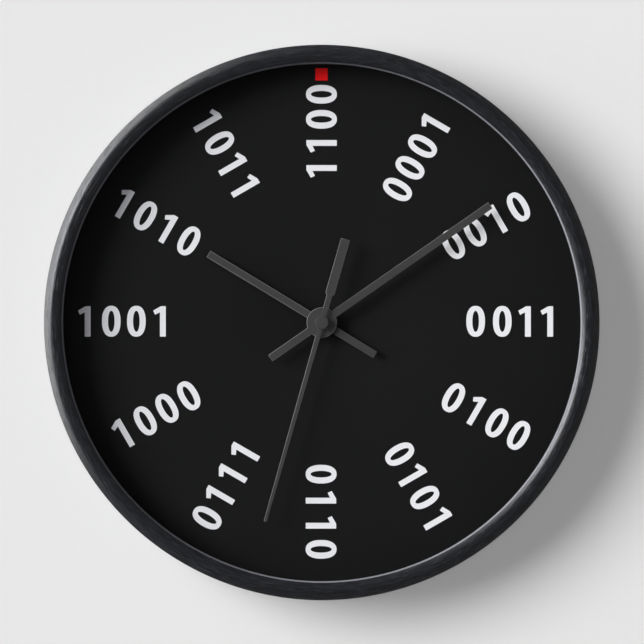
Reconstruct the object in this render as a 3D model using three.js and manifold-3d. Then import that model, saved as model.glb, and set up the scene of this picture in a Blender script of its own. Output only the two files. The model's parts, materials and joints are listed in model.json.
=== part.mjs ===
// Round wall clock: a wooden ring frame, an acrylic lens, a printed dial, three hands and a
// battery quartz movement with its whole gear train.
// Millimetres, +Z up, the dial faces -Y. The wall is the plane y = 0, and a "depth" is a
// distance in front of the wall, so depth 24 lies at y = -24.
// The origin is the point of the wall where the nail carries the hanger.
import * as THREE from "three";
import { mergeVertices } from "three/addons/utils/BufferGeometryUtils.js";
import Module from "manifold-3d";

const wasm = await Module();
wasm.setup();

// Gap between pieces that touch, play of pieces that turn or slide, how far joined bodies
// reach into each other, and how far a cutter stands past what it cuts
const seatGap = 0.05;
const play = 0.2;
const weld = 0.5;
const past = 1;

// Frame and front
const ring = { radius: 127, opening: 118.9, rebate: 121.3, depth: 40, crown: 3, chamfer: 1, lip: 36.8 };
const insertRadius = 120.9;
const ringSides = 56;
const insertSides = 40;
const lens = { back: 34.6, front: 36.4 };
const gasket = { inner: 119.3, back: lens.front + seatGap, front: ring.lip - seatGap };
const spacer = { inner: 118.2, radius: 0.4 };

// Stack on the movement's threaded bushing, from the wall forwards
const movementBack = 3;
const movementFront = 19;
const hangerPlate = { back: movementFront + seatGap, thickness: 0.8 };
const rubberWasher = { back: 19.9, front: 20.55, inner: 4.1, outer: 11 };
const board = { back: 20.6, front: 23.55, hole: 4.3 };
const sheet = { back: 23.6, front: 24 };
const brassWasher = { back: 24.05, front: 24.5, inner: 4, outer: 6.4 };
const nut = { back: 24.55, front: 26.6, inner: 4, acrossFlats: 10 };
const bushing = { radius: 3.9, bore: 2.7, front: 27, flange: 5.2, flangeBack: 18.2 };

// Hands: reach and tail are measured from the axis, angles clockwise from twelve
const hands = {
  hour: { angle: 301.2, reach: 60.6, tail: 28.6, width: 3.5, disc: 6.9, back: 28, thickness: 0.4 },
  minute: { angle: 55.2, reach: 94, tail: 28.6, width: 3.6, disc: 6.9, back: 30, thickness: 0.4 },
  second: {
    angle: 195.9, reach: 94.7, width: 2.4, tipWidth: 1.6, neckWidth: 2.65, neck: 12.8,
    paddleStart: 13.7, paddleWidth: 4.5, tail: 39.6, back: 32, thickness: 0.35,
  },
};
const cap = { radius: 3.2, front: 33.7, neck: 0.8, back: 31.2, edge: 0.5, cover: 0.6 };
const handBore = { hour: 3.15, minute: 2.2, second: 0.85 };
const colletFlange = { height: 0.6, rim: 1 };

// Movement housing
const housing = { size: 56, corner: 3, wall: 1.4, frontWall: 1.5, coverThickness: 1.2 };
const inside = movementFront - housing.frontWall;
const innerHalf = housing.size / 2 - housing.wall;
const coverFront = movementBack + housing.coverThickness;
const divider = { bottom: -11.4, top: -10.2, halfLength: 25.2 };
const cell = { radius: 7, halfLength: 25, z: -19, depth: 10.4, nub: 2.7, nubLength: 1.2 };
const cellForm = { endBevel: 0.4, jacketStep: 0.9, beadFrom: 1.2, beadWidth: 1.4, beadDepth: 0.35 };
const cellRib = { x: 14, thickness: 1.2, back: 12.5 };
const fingerNotch = { halfWidth: 11, depth: 5 };
const bridge = { back: 9.2, front: 9.9 };
const bridgePosts = [[-18.5, -8], [18.5, -8], [-18.5, 7], [18.5, 7]];
const bridgeOutline = [
  [-20.5, -9.9], [20.5, -9.9], [20.5, 9], [11, 15], [-3, 15], [-14, 9], [-20.5, 9],
];
const postRadius = 1.5;
const stake = { radius: 0.8, proud: 0.3 };
const coverRest = { inset: 2.4, radius: 1.6 };
const coverRib = { places: [-21, -17, 21], bottom: -6, top: 21, width: 1, height: 0.5 };
const bearingBoss = { radius: 1.3, height: 1.2 };
const knobGuard = { inner: 7, outer: 8, height: 0.6 };
const latch = { width: 5, thickness: 1, front: 9, hookBack: 6.6, hookFront: 8.4, hook: 1, windowGap: 0.3 };
const latchPlaces = [
  { side: 0, at: -15 }, { side: 0, at: 19 }, { side: 1, at: -19.5 }, { side: 3, at: 19.5 },
];

// Gear train: tooth counts, and how far apart the two arbors of a pair stand
const teeth = {
  rotorPinion: 6, intermediate: 30, intermediatePinion: 6, seconds: 36, secondsPinion: 6,
  third: 45, thirdPinion: 6, centre: 48, cannon: 10, minute: 30, minutePinion: 8, hour: 32,
};
const spread = { rotor: 6, intermediate: 8.75, third: 8.5, minute: 9 };
const direction = { rotor: 30, intermediate: 90, third: 180, minute: 0 };
const toothForm = { addendum: 0.9, dedendum: 1.2, pressureAngle: 20, thickness: 0.84 };
const level = {
  rotorPinion: [5.8, 7], intermediate: [6, 6.6], intermediatePinion: [7.7, 8.9],
  seconds: [7.9, 8.6], secondsPinion: [10.3, 11.4], third: [10.5, 11.1],
  thirdPinion: [12.4, 13.8], centre: [12.8, 13.4], cannon: [14.2, 15.4],
  minute: [14.4, 15.2], minutePinion: [16.1, 17.2], hour: [16.3, 17.1],
};
const pivot = { radius: 0.3, hole: 0.45, back: 4.7, shoulder: 5.5, length: 0.8 };
const arbor = { seconds: 0.4, secondsHub: 0.58, plain: 0.5, minute: 0.9 };
const cannonTube = {
  bore: 0.55, radius: 1.6, tip: 1.5, back: 12.2, step: 28.8, front: 30.45, head: 2.2, headHeight: 0.5,
};
const hourTube = { bore: 1.75, radius: 2.55, tip: 2.35, back: 15.6, step: 27.2, front: 28.5 };
const frictionSpring = { back: 13.5, front: 14.15, inner: 1.7, outer: 3.4, thickness: 0.25 };
const knob = { radius: 6, back: 1, front: 2.7, flutes: 16, fluteDepth: 0.3, slot: 0.6, slotReach: 3.9 };

// Stepping motor and electronics
const magnet = { inner: 0.75, outer: 2.2, back: 7.3, front: 8.95 };
const stator = { back: 7.6, front: 8.4, hole: 2.6, pole: 4, arm: 4 };
const core = { left: -11, right: 21, z: 21.5, back: 8.45, front: 9.45, height: 3 };
const bobbin = { left: -5, right: 15, bore: 1.75, tube: 2.3, flange: 3.8, flangeThickness: 1 };
const winding = { radius: 3.5, gap: 0.1 };
const coreScrew = { inset: 2, shank: 0.7, hole: 0.95, head: 1.7, headBack: 6.5, grip: 3, holeDepth: 4 };
const circuit = { halfWidth: 25.5, bottom: 10.2, top: 17.4, back: 12.5, front: 13.5 };
const boardPegs = [[-20, 14], [20, 14]];
const chip = { x: -8, z: 13.8, radius: 3, height: 1.6 };
const crystal = { x: 9, z: 14, radius: 1, length: 6, base: 0.5, shoulder: 0.8 };
const contact = {
  x: 26.3, thickness: 0.4, back: 6.4, front: 12.4, bottom: -25.4,
  reach: 25.3, halfFlat: 1.2, halfBow: 3.4, tabEnd: 23.5, tabZ: 11.2,
};

// Hanger: a strap from the bushing, set back towards the wall, with a keyhole slot
const strap = {
  width: 16, corner: 4, eye: 9, top: 58.5, setBack: 9, bendStart: 30, bendEnd: 38, bend: 1.2,
};
const keyhole = { width: 5, top: 52, entry: 4.6, entryZ: 43.5 };

// Clips that hold the dial board in the ring
const clip = {
  angles: [45, 135, 225, 315], width: 12, thickness: 1.2, bend: 0.6, foot: 12, rise: 11,
  outer: 120.7, front: board.back - seatGap,
};
const clipScrew = {
  radius: 1, hole: 1.3, length: 4, point: 1.2, head: 2.4, headFace: 1.44, headHeight: 1.2, rise: 6.5,
};

const nailHeight = keyhole.top;

// Materials
function material(name, color, roughness, metalness) {
  return new THREE.MeshStandardMaterial({ name, color, roughness, metalness });
}

const finish = {
  stainedWood: () => material("stained_wood", 0x1d1f23, 0.45, 0),
  acrylic: () => material("clear_acrylic", 0xdfe8ee, 0.05, 0),
  gasketRubber: () => material("grey_gasket", 0x6a6d76, 0.6, 0),
  greyPlastic: () => material("grey_plastic", 0x8f929c, 0.4, 0),
  dialPrint: () => material("dial_print", 0x1c1c1c, 0.5, 0),
  fibreboard: () => material("fibreboard", 0x6b5138, 0.9, 0),
  zincSteel: () => material("zinc_steel", 0xb4b7ba, 0.35, 1),
  brass: () => material("brass", 0xc49a4a, 0.35, 1),
  rubber: () => material("black_rubber", 0x141414, 0.9, 0),
  blackPlastic: () => material("black_plastic", 0x17181a, 0.5, 0),
  whitePlastic: () => material("white_plastic", 0xe4e2da, 0.4, 0),
  handPaint: () => material("hand_paint", 0x3c3c3c, 0.45, 0.3),
  copperWire: () => material("copper_wire", 0xa5532b, 0.4, 1),
  ferrite: () => material("ferrite", 0x2b2a2c, 0.6, 0),
  laminate: () => material("laminate", 0x8a5a2c, 0.6, 0),
  epoxy: () => material("epoxy", 0x0d0d0e, 0.35, 0),
  cellJacket: () => material("cell_jacket", 0x55585c, 0.35, 0.2),
};

// Solids

function solid(geometry) {
  geometry.deleteAttribute("normal");
  geometry.deleteAttribute("uv");
  const merged = mergeVertices(geometry, 1e-4);
  return new wasm.Manifold(new wasm.Mesh({
    numProp: 3,
    vertProperties: merged.attributes.position.array,
    triVerts: new Uint32Array(merged.index.array),
  }));
}

function surface(body) {
  const { vertProperties, triVerts } = body.getMesh();
  const geometry = new THREE.BufferGeometry();
  geometry.setAttribute("position", new THREE.BufferAttribute(vertProperties, 3));
  geometry.setIndex(new THREE.BufferAttribute(triVerts, 1));
  return geometry;
}

function joined(...bodies) {
  return bodies.reduce((whole, next) => whole.add(next));
}

// A profile of [radius, depth] pairs turned about the dial axis; it starts and ends on the
// axis, or is closed into a ring
function turned(profile, segments) {
  const points = profile.map(([radius, depth]) => new THREE.Vector2(radius, -depth));
  if (THREE.ShapeUtils.area(points) < 0) {
    points.reverse();
  }
  if (points[0].x > 0 || points.at(-1).x > 0) {
    points.push(points[0].clone());
  }
  return new THREE.LatheGeometry(points, segments);
}

// Steps of [back, front, radius] on one shaft, solid or with a bore
function shaft(steps, segments, bore = 0) {
  const flanks = steps.flatMap(([back, front, radius]) => [[radius, back], [radius, front]]);
  return turned([[bore, steps[0][0]], ...flanks, [bore, steps.at(-1)[1]]], segments);
}

function washer(inner, outer, back, front, segments) {
  return shaft([[back, front, outer]], segments, inner);
}

// A flat outline, seen from the front with x right and z up, between two depths
function slab(shape, back, front, curveSegments = 3) {
  const geometry = new THREE.ExtrudeGeometry(shape, {
    depth: front - back,
    bevelEnabled: false,
    curveSegments,
  });
  geometry.rotateX(Math.PI / 2);
  geometry.translate(0, -back, 0);
  return geometry;
}

function circle(x, z, radius, count) {
  const points = [];
  for (let i = 0; i < count; i += 1) {
    const angle = (2 * Math.PI * i) / count;
    points.push(new THREE.Vector2(x + radius * Math.cos(angle), z + radius * Math.sin(angle)));
  }
  return points;
}

function disc(x, z, radius, back, front, count = 8) {
  return slab(new THREE.Shape(circle(x, z, radius, count)), back, front);
}

function rectangle(left, bottom, right, top, corner = 0) {
  const shape = new THREE.Shape();
  if (corner === 0) {
    shape.moveTo(left, bottom);
    shape.lineTo(right, bottom);
    shape.lineTo(right, top);
    shape.lineTo(left, top);
    return shape;
  }
  shape.moveTo(left + corner, bottom);
  shape.absarc(right - corner, bottom + corner, corner, -Math.PI / 2, 0);
  shape.absarc(right - corner, top - corner, corner, 0, Math.PI / 2);
  shape.absarc(left + corner, top - corner, corner, Math.PI / 2, Math.PI);
  shape.absarc(left + corner, bottom + corner, corner, Math.PI, 1.5 * Math.PI);
  return shape;
}

function block(left, bottom, right, top, back, front) {
  return slab(rectangle(left, bottom, right, top), back, front);
}

// The outline of a strip of sheet metal of even thickness along a centre line
function ribbon(path, thickness) {
  const left = [];
  const right = [];
  path.forEach((point, i) => {
    const before = path[Math.max(i - 1, 0)];
    const after = path[Math.min(i + 1, path.length - 1)];
    const into = new THREE.Vector2(point[0] - before[0], point[1] - before[1]).normalize();
    const out = new THREE.Vector2(after[0] - point[0], after[1] - point[1]).normalize();
    const along = into.clone().add(out).normalize();
    const mitre = into.lengthSq() && out.lengthSq() ? Math.sqrt((1 + into.dot(out)) / 2) : 1;
    const offset = thickness / 2 / mitre;
    left.push(new THREE.Vector2(point[0] - along.y * offset, point[1] + along.x * offset));
    right.push(new THREE.Vector2(point[0] + along.y * offset, point[1] - along.x * offset));
  });
  return new THREE.Shape([...left, ...right.reverse()]);
}

// Places in the train, as [x, z] from the dial axis

function away(origin, distance, degrees) {
  const angle = THREE.MathUtils.degToRad(degrees);
  return [origin[0] + distance * Math.cos(angle), origin[1] + distance * Math.sin(angle)];
}

const axis = [0, 0];
const intermediateAt = away(axis, spread.intermediate, direction.intermediate);
const rotorAt = away(intermediateAt, spread.rotor, direction.rotor);
const thirdAt = away(axis, spread.third, direction.third);
const minuteAt = away(axis, spread.minute, direction.minute);

// Involute teeth, thinned for play. One tooth, or with gap one space, points at `degrees`
function toothed(count, mateCount, distance, degrees, gap, flank) {
  const module = (2 * distance) / (count + mateCount);
  const pitch = (count * module) / 2;
  const tip = pitch + toothForm.addendum * module;
  const root = pitch - toothForm.dedendum * module;
  const base = pitch * Math.cos(THREE.MathUtils.degToRad(toothForm.pressureAngle));
  const involute = (radius) => (radius > base
    ? Math.sqrt((radius / base) ** 2 - 1) - Math.acos(base / radius) : 0);
  const halfTooth = (toothForm.thickness * Math.PI) / (2 * count);
  const halfAngle = (radius) => halfTooth + involute(pitch) - involute(radius);
  const radii = [root, ...flank.map((share) => root + share * (tip - root)), tip];
  const points = [];
  for (let i = 0; i < count; i += 1) {
    const turn = (2 * Math.PI * (i + (gap ? 0.5 : 0))) / count;
    const middle = THREE.MathUtils.degToRad(degrees) + turn;
    radii.forEach((radius) => {
      const angle = middle - halfAngle(radius);
      points.push(new THREE.Vector2(radius * Math.cos(angle), radius * Math.sin(angle)));
    });
    radii.toReversed().forEach((radius) => {
      const angle = middle + halfAngle(radius);
      points.push(new THREE.Vector2(radius * Math.cos(angle), radius * Math.sin(angle)));
    });
  }
  return points;
}

const wheelFlank = [];
const pinionFlank = [0.5];

function gear(name, mate, distance, degrees, gap, bore = 0, boreCount = 16) {
  const count = teeth[name];
  const flank = count < 20 ? pinionFlank : wheelFlank;
  const shape = new THREE.Shape(toothed(count, teeth[mate], distance, degrees, gap, flank));
  if (bore > 0) {
    shape.holes.push(new THREE.Path(circle(0, 0, bore, boreCount)));
  }
  return solid(slab(shape, level[name][0], level[name][1]));
}

// The clock

const clock = new THREE.Group();
clock.position.z = -nailHeight;

function place(name, geometry, look, at = axis) {
  const mesh = new THREE.Mesh(geometry, look());
  mesh.name = name;
  mesh.position.set(at[0], 0, at[1]);
  clock.add(mesh);
  return mesh;
}

// Ring frame with a rounded front and a rebate for the lens and dial
function ringProfile() {
  const middle = (ring.radius + ring.opening) / 2;
  const halfWidth = (ring.radius - ring.opening) / 2;
  const shoulder = ring.depth - ring.crown;
  const steps = 6;
  const profile = [
    [ring.rebate, ring.chamfer],
    [ring.rebate + ring.chamfer, 0],
    [ring.radius - ring.chamfer, 0],
    [ring.radius, ring.chamfer],
  ];
  for (let i = 0; i <= steps; i += 1) {
    const angle = (Math.PI * i) / steps;
    profile.push([
      middle + halfWidth * Math.cos(angle),
      shoulder + ring.crown * Math.sin(angle),
    ]);
  }
  profile.push([ring.opening, ring.lip], [ring.rebate, ring.lip]);
  return profile;
}

function aroundRing(geometry, degrees) {
  geometry.rotateY(THREE.MathUtils.degToRad(degrees));
  return geometry;
}

function pilotHole(degrees) {
  const depthFromWall = clip.front - clipScrew.rise;
  const length = clipScrew.length + past;
  const hole = new THREE.CylinderGeometry(clipScrew.hole, clipScrew.hole, length, 10);
  hole.translate(0, clip.outer + clipScrew.length / 2, 0);
  hole.rotateX(Math.PI / 2);
  hole.translate(0, -depthFromWall, 0);
  return solid(aroundRing(hole, degrees));
}

function makeFrame() {
  const wood = clip.angles.reduce(
    (whole, degrees) => whole.subtract(pilotHole(degrees)),
    solid(turned(ringProfile(), ringSides)),
  );
  place("frame_ring", surface(wood), finish.stainedWood);
}

function makeFront() {
  place("lens", shaft([[lens.back, lens.front, insertRadius]], ringSides), finish.acrylic);
  place(
    "lens_gasket",
    washer(gasket.inner, insertRadius, gasket.back, gasket.front, insertSides),
    finish.gasketRubber,
  );
  const back = sheet.front + seatGap;
  const front = lens.back - seatGap;
  place("lens_spacer", turned([
    [spacer.inner, back],
    [insertRadius, back],
    [insertRadius, front],
    [spacer.inner + spacer.radius, front],
    [spacer.inner, front - spacer.radius],
  ], ringSides), finish.greyPlastic);
  const round = (back, end) => washer(board.hole, insertRadius, back, end, insertSides);
  place("dial_sheet", round(sheet.back, sheet.front), finish.dialPrint);
  place("dial_board", round(board.back, board.front), finish.fibreboard);
}

// Bent clips on the back of the board, each with a wood screw into the ring
function clipGeometry(degrees) {
  const middle = clip.thickness / 2;
  const profile = ribbon([
    [clip.outer - clip.foot, -clip.front + middle],
    [clip.outer - middle - clip.bend, -clip.front + middle],
    [clip.outer - middle, -clip.front + middle + clip.bend],
    [clip.outer - middle, -clip.front + clip.rise],
  ], clip.thickness);
  const bent = new THREE.ExtrudeGeometry(profile, { depth: clip.width, bevelEnabled: false });
  bent.translate(0, 0, -clip.width / 2);
  bent.rotateY(-Math.PI / 2);
  const hole = new THREE.CylinderGeometry(clipScrew.hole, clipScrew.hole, 4 * clip.thickness, 10);
  hole.rotateX(Math.PI / 2);
  hole.translate(0, -clip.front + clipScrew.rise, clip.outer);
  return aroundRing(surface(solid(bent).subtract(solid(hole))), degrees);
}

function clipScrewGeometry(degrees) {
  const head = clip.outer - clip.thickness - seatGap;
  const profile = [
    [0, head - clipScrew.headHeight],
    [clipScrew.headFace, head - clipScrew.headHeight],
    [clipScrew.head, head],
    [clipScrew.radius, head],
    [clipScrew.radius, clip.outer + clipScrew.length - clipScrew.point],
    [0, clip.outer + clipScrew.length],
  ];
  const screw = turned(profile, 8);
  screw.rotateX(-Math.PI / 2);
  screw.translate(0, -clip.front + clipScrew.rise, 0);
  return aroundRing(screw, degrees);
}

function makeClips() {
  clip.angles.forEach((degrees, i) => {
    place(`retaining_clip_${i + 1}`, clipGeometry(degrees), finish.zincSteel);
    place(`clip_screw_${i + 1}`, clipScrewGeometry(degrees), finish.zincSteel);
  });
}

// Steel hanger: a bent strap cut to a rounded outline, with an eye and a keyhole slot
function hangerOutline() {
  const { corner } = strap;
  const half = strap.width / 2;
  const shape = new THREE.Shape();
  const spreadAngle = Math.acos(half / strap.eye);
  shape.moveTo(half, strap.top - corner);
  shape.absarc(half - corner, strap.top - corner, corner, 0, Math.PI / 2);
  shape.absarc(corner - half, strap.top - corner, corner, Math.PI / 2, Math.PI);
  shape.absarc(0, 0, strap.eye, Math.PI - spreadAngle, 2 * Math.PI + spreadAngle);
  return shape;
}

function keyholeOutline() {
  const half = keyhole.width / 2;
  const shape = new THREE.Shape();
  const entryAngle = Math.acos(half / keyhole.entry);
  shape.moveTo(half, keyhole.top - half);
  shape.absarc(0, keyhole.top - half, half, 0, Math.PI);
  shape.absarc(0, keyhole.entryZ, keyhole.entry, Math.PI - entryAngle, 2 * Math.PI + entryAngle);
  return shape;
}

function makeHanger() {
  const middle = hangerPlate.back + hangerPlate.thickness / 2;
  const side = ribbon([
    [-strap.eye - past, -middle],
    [strap.bendStart, -middle],
    [strap.bendStart + strap.bend, -middle + strap.bend],
    [strap.bendEnd - strap.bend, -strap.setBack - strap.bend],
    [strap.bendEnd, -strap.setBack],
    [strap.top + past, -strap.setBack],
  ], hangerPlate.thickness);
  const depth = 2 * (strap.eye + past);
  const sheetMetal = new THREE.ExtrudeGeometry(side, { depth, bevelEnabled: false });
  sheetMetal.translate(0, 0, -depth / 2);
  sheetMetal.rotateY(-Math.PI / 2);
  const plate = solid(sheetMetal)
    .intersect(solid(slab(hangerOutline(), 0, board.back, 4)))
    .subtract(solid(slab(keyholeOutline(), 0, board.back, 4)))
    .subtract(solid(disc(0, 0, board.hole, 0, board.back, 16)));
  place("hanger", surface(plate), finish.zincSteel);
}

// Washers, nut and threaded bushing that clamp the movement to the dial board
function makeClamp() {
  place(
    "rubber_washer",
    washer(rubberWasher.inner, rubberWasher.outer, rubberWasher.back, rubberWasher.front, 20),
    finish.rubber,
  );
  place(
    "brass_washer",
    washer(brassWasher.inner, brassWasher.outer, brassWasher.back, brassWasher.front, 16),
    finish.brass,
  );
  const hexagon = new THREE.Shape(circle(0, 0, nut.acrossFlats / Math.sqrt(3), 6));
  hexagon.holes.push(new THREE.Path(circle(0, 0, nut.inner, 16)));
  place("hex_nut", slab(hexagon, nut.back, nut.front), finish.brass);
  place("threaded_bushing", shaft([
    [inside, bushing.flangeBack, bushing.radius],
    [bushing.flangeBack, movementFront, bushing.flange],
    [movementFront, bushing.front, bushing.radius],
  ], 16, bushing.bore), finish.brass);
}

// Something made at the middle of the housing's top wall, turned to one of its four walls
function onWall(geometry, side) {
  geometry.rotateY((side * Math.PI) / 2);
  return geometry;
}

// Housing tray with the cell bay below, posts for the bridge, coil and circuit board, and
// windows for the cover's latches
function makeCase() {
  const half = housing.size / 2;
  const outline = rectangle(-half, -half, half, half, housing.corner);
  const rim = rectangle(-half, -half, half, half, housing.corner);
  rim.holes.push(rectangle(-innerHalf, -innerHalf, innerHalf, innerHalf, housing.corner - housing.wall));
  const floor = inside + weld;
  const post = (x, z, back) => solid(disc(x, z, postRadius, back, floor));
  const staked = ([x, z], { back, front }) => [
    post(x, z, front + seatGap),
    solid(disc(x, z, stake.radius, back - stake.proud, inside)),
  ];
  const rib = (x) => {
    const space = new THREE.CylinderGeometry(cell.radius + play, cell.radius + play, housing.size, 20);
    space.rotateZ(Math.PI / 2);
    space.translate(0, -cell.depth, cell.z);
    const left = x - cellRib.thickness / 2;
    return solid(block(
      left, -innerHalf - weld, left + cellRib.thickness, divider.bottom + weld, cellRib.back, floor,
    )).subtract(solid(space));
  };
  const coreRest = (x) => post(x, core.z, core.front + seatGap).subtract(
    solid(disc(x, core.z, coreScrew.hole, core.front - past, core.front + coreScrew.holeDepth)),
  );
  const corner = half - coverRest.inset;
  const cornerRest = (x) => solid(disc(x, corner, coverRest.radius, coverFront + seatGap, floor));
  const latchWindow = ({ side, at }) => solid(onWall(block(
    at - latch.width / 2 - latch.windowGap, innerHalf - past,
    at + latch.width / 2 + latch.windowGap, half + past,
    latch.hookBack - latch.windowGap, latch.hookFront + latch.windowGap,
  ), side));
  const tray = joined(
    solid(slab(outline, inside, movementFront)),
    solid(slab(rim, movementBack, floor)),
    solid(block(
      -divider.halfLength, divider.bottom, divider.halfLength, divider.top, coverFront + seatGap, floor,
    )),
    rib(-cellRib.x),
    rib(cellRib.x),
    ...bridgePosts.flatMap((at) => staked(at, bridge)),
    ...boardPegs.flatMap((at) => staked(at, circuit)),
    coreRest(core.left + coreScrew.inset),
    coreRest(core.right - coreScrew.inset),
    cornerRest(-corner),
    cornerRest(corner),
  )
    .subtract(solid(shaft([
      [inside - past, bushing.flangeBack - seatGap, bushing.radius + seatGap],
      [bushing.flangeBack - seatGap, movementFront + past, bushing.flange + seatGap],
    ], 16)))
    .subtract(solid(disc(...thirdAt, pivot.hole, inside - past, inside + past)))
    .subtract(solid(disc(...minuteAt, arbor.minute + play, inside - past, inside + past)))
    .subtract(solid(block(
      -fingerNotch.halfWidth, -half - past, fingerNotch.halfWidth, -innerHalf + past,
      movementBack - past, movementBack + fingerNotch.depth,
    )));
  const housingBody = latchPlaces.reduce((whole, at) => whole.subtract(latchWindow(at)), tray);
  place("movement_case", surface(housingBody), finish.blackPlastic);
}

// A latch of the cover: a tongue along the housing's wall, with a wedge that snaps into the
// wall's window
function latchBody({ side, at }) {
  const outer = innerHalf - play;
  const profile = new THREE.Shape([
    [outer - latch.thickness, coverFront - weld],
    [outer, coverFront - weld],
    [outer, latch.hookBack],
    [outer + latch.hook, latch.hookBack],
    [outer, latch.hookFront],
    [outer, latch.front],
    [outer - latch.thickness, latch.front],
  ].map(([z, depth]) => new THREE.Vector2(z, -depth)));
  const tongue = new THREE.ExtrudeGeometry(profile, { depth: latch.width, bevelEnabled: false });
  tongue.translate(0, 0, -latch.width / 2);
  tongue.rotateY(-Math.PI / 2);
  tongue.translate(at, 0, 0);
  return solid(onWall(tongue, side));
}

// Rear cover of the train, with bearing bosses inside and a guard rim round the knob
function makeCover() {
  const edge = innerHalf - play;
  const plate = rectangle(-edge, divider.bottom, edge, edge, 1);
  plate.holes.push(new THREE.Path(circle(...minuteAt, arbor.minute + play, 10)));
  const tube = (at, outer, inner, back, front, count) => {
    const shape = new THREE.Shape(circle(...at, outer, count));
    shape.holes.push(new THREE.Path(circle(...at, inner, count)));
    return solid(slab(shape, back, front));
  };
  const boss = (at) => tube(
    at, bearingBoss.radius, pivot.hole, coverFront - play, coverFront + bearingBoss.height, 10,
  );
  const guard = tube(
    minuteAt, knobGuard.outer, knobGuard.inner,
    movementBack - knobGuard.height, movementBack + play, 24,
  );
  const strengthening = coverRib.places.map((x) => solid(block(
    x - coverRib.width / 2, coverRib.bottom, x + coverRib.width / 2, coverRib.top,
    movementBack - coverRib.height, movementBack + play,
  )));
  const cover = joined(
    solid(slab(plate, movementBack, coverFront)),
    boss(axis),
    boss(intermediateAt),
    boss(rotorAt),
    guard,
    ...strengthening,
    ...latchPlaces.map(latchBody),
  );
  place("movement_cover", surface(cover), finish.blackPlastic);
}

// Bridge between housing and cover that carries the inner pivots
function makeBridge() {
  const shape = new THREE.Shape(bridgeOutline.map(([x, z]) => new THREE.Vector2(x, z)));
  const hole = ([x, z], radius) => shape.holes.push(new THREE.Path(circle(x, z, radius, 8)));
  bridgePosts.forEach((at) => hole(at, stake.radius + play));
  hole(axis, arbor.secondsHub + 2 * play);
  hole(intermediateAt, pivot.hole);
  hole(rotorAt, pivot.hole);
  hole(thirdAt, pivot.hole);
  hole(minuteAt, arbor.minute + play);
  place("train_bridge", slab(shape, bridge.back, bridge.front), finish.whitePlastic);
}

// Wheels and pinions, each turned so that its teeth stand in the spaces of its mate
function makeTrain() {
  const { rotor, intermediate, third, minute } = direction;
  const rotorBody = joined(
    solid(shaft([
      [pivot.back, pivot.shoulder, pivot.radius],
      [pivot.shoulder, magnet.front, arbor.plain],
      [magnet.front, bridge.front - play, pivot.radius],
    ], 8)),
    gear("rotorPinion", "intermediate", spread.rotor, rotor + 180, false),
  );
  place("rotor_pinion", surface(rotorBody), finish.whitePlastic, rotorAt);
  place(
    "rotor_magnet",
    washer(magnet.inner, magnet.outer, magnet.back, magnet.front, 16),
    finish.ferrite,
    rotorAt,
  );

  const intermediateBody = joined(
    solid(shaft([
      [pivot.back, pivot.shoulder, pivot.radius],
      [pivot.shoulder, bridge.back - play / 2, arbor.plain],
      [bridge.back - play / 2, bridge.front - play, pivot.radius],
    ], 8)),
    gear("intermediate", "rotorPinion", spread.rotor, rotor, true),
    gear("intermediatePinion", "seconds", spread.intermediate, intermediate + 180, false),
  );
  place("intermediate_wheel", surface(intermediateBody), finish.whitePlastic, intermediateAt);

  const secondsBore = arbor.seconds + seatGap;
  const secondsBody = joined(
    solid(shaft(
      [[level.seconds[0], level.secondsPinion[0] + play, arbor.secondsHub]], 10, secondsBore,
    )),
    gear("seconds", "intermediatePinion", spread.intermediate, intermediate, true, secondsBore, 10),
    gear("secondsPinion", "third", spread.third, third, false, secondsBore, 10),
  );
  place("seconds_wheel", surface(secondsBody), finish.whitePlastic);
  place("seconds_arbor", shaft([
    [pivot.back, pivot.shoulder, pivot.radius],
    [pivot.shoulder, cap.front - cap.cover, arbor.seconds],
  ], 10), finish.zincSteel);

  const thirdBody = joined(
    solid(shaft([
      [bridge.back + play / 2, bridge.front + play / 2, pivot.radius],
      [bridge.front + play / 2, inside - play, arbor.plain],
      [inside - play, inside + pivot.length, pivot.radius],
    ], 8)),
    gear("third", "secondsPinion", spread.third, third + 180, true),
    gear("thirdPinion", "centre", spread.third, third + 180, false),
  );
  place("third_wheel", surface(thirdBody), finish.whitePlastic, thirdAt);

  place("centre_wheel", surface(
    gear("centre", "thirdPinion", spread.third, third, true, cannonTube.radius + play / 2, 16),
  ), finish.brass);
  place("friction_spring", turned([
    [frictionSpring.inner, frictionSpring.front - frictionSpring.thickness],
    [frictionSpring.outer, frictionSpring.back],
    [frictionSpring.outer, frictionSpring.back + frictionSpring.thickness],
    [frictionSpring.inner, frictionSpring.front],
  ], 16), finish.zincSteel);

  const cannonBody = joined(
    solid(shaft([
      [cannonTube.back, cannonTube.back + cannonTube.headHeight, cannonTube.head],
      [cannonTube.back + cannonTube.headHeight, cannonTube.step, cannonTube.radius],
      [cannonTube.step, cannonTube.front, cannonTube.tip],
    ], 16, cannonTube.bore)),
    gear("cannon", "minute", spread.minute, minute, false, cannonTube.bore + play),
  );
  place("cannon_pinion", surface(cannonBody), finish.brass);

  const minuteBody = joined(
    solid(shaft([[knob.back + knob.slot, inside + pivot.length, arbor.minute]], 10)),
    gear("minute", "cannon", spread.minute, minute + 180, true),
    gear("minutePinion", "hour", spread.minute, minute + 180, false),
  );
  place("minute_wheel", surface(minuteBody), finish.whitePlastic, minuteAt);

  const hourBody = joined(
    solid(shaft([
      [hourTube.back, hourTube.step, hourTube.radius],
      [hourTube.step, hourTube.front, hourTube.tip],
    ], 16, hourTube.bore)),
    gear("hour", "minutePinion", spread.minute, minute, true, hourTube.bore + play),
  );
  place("hour_wheel", surface(hourBody), finish.whitePlastic);
}

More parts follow.
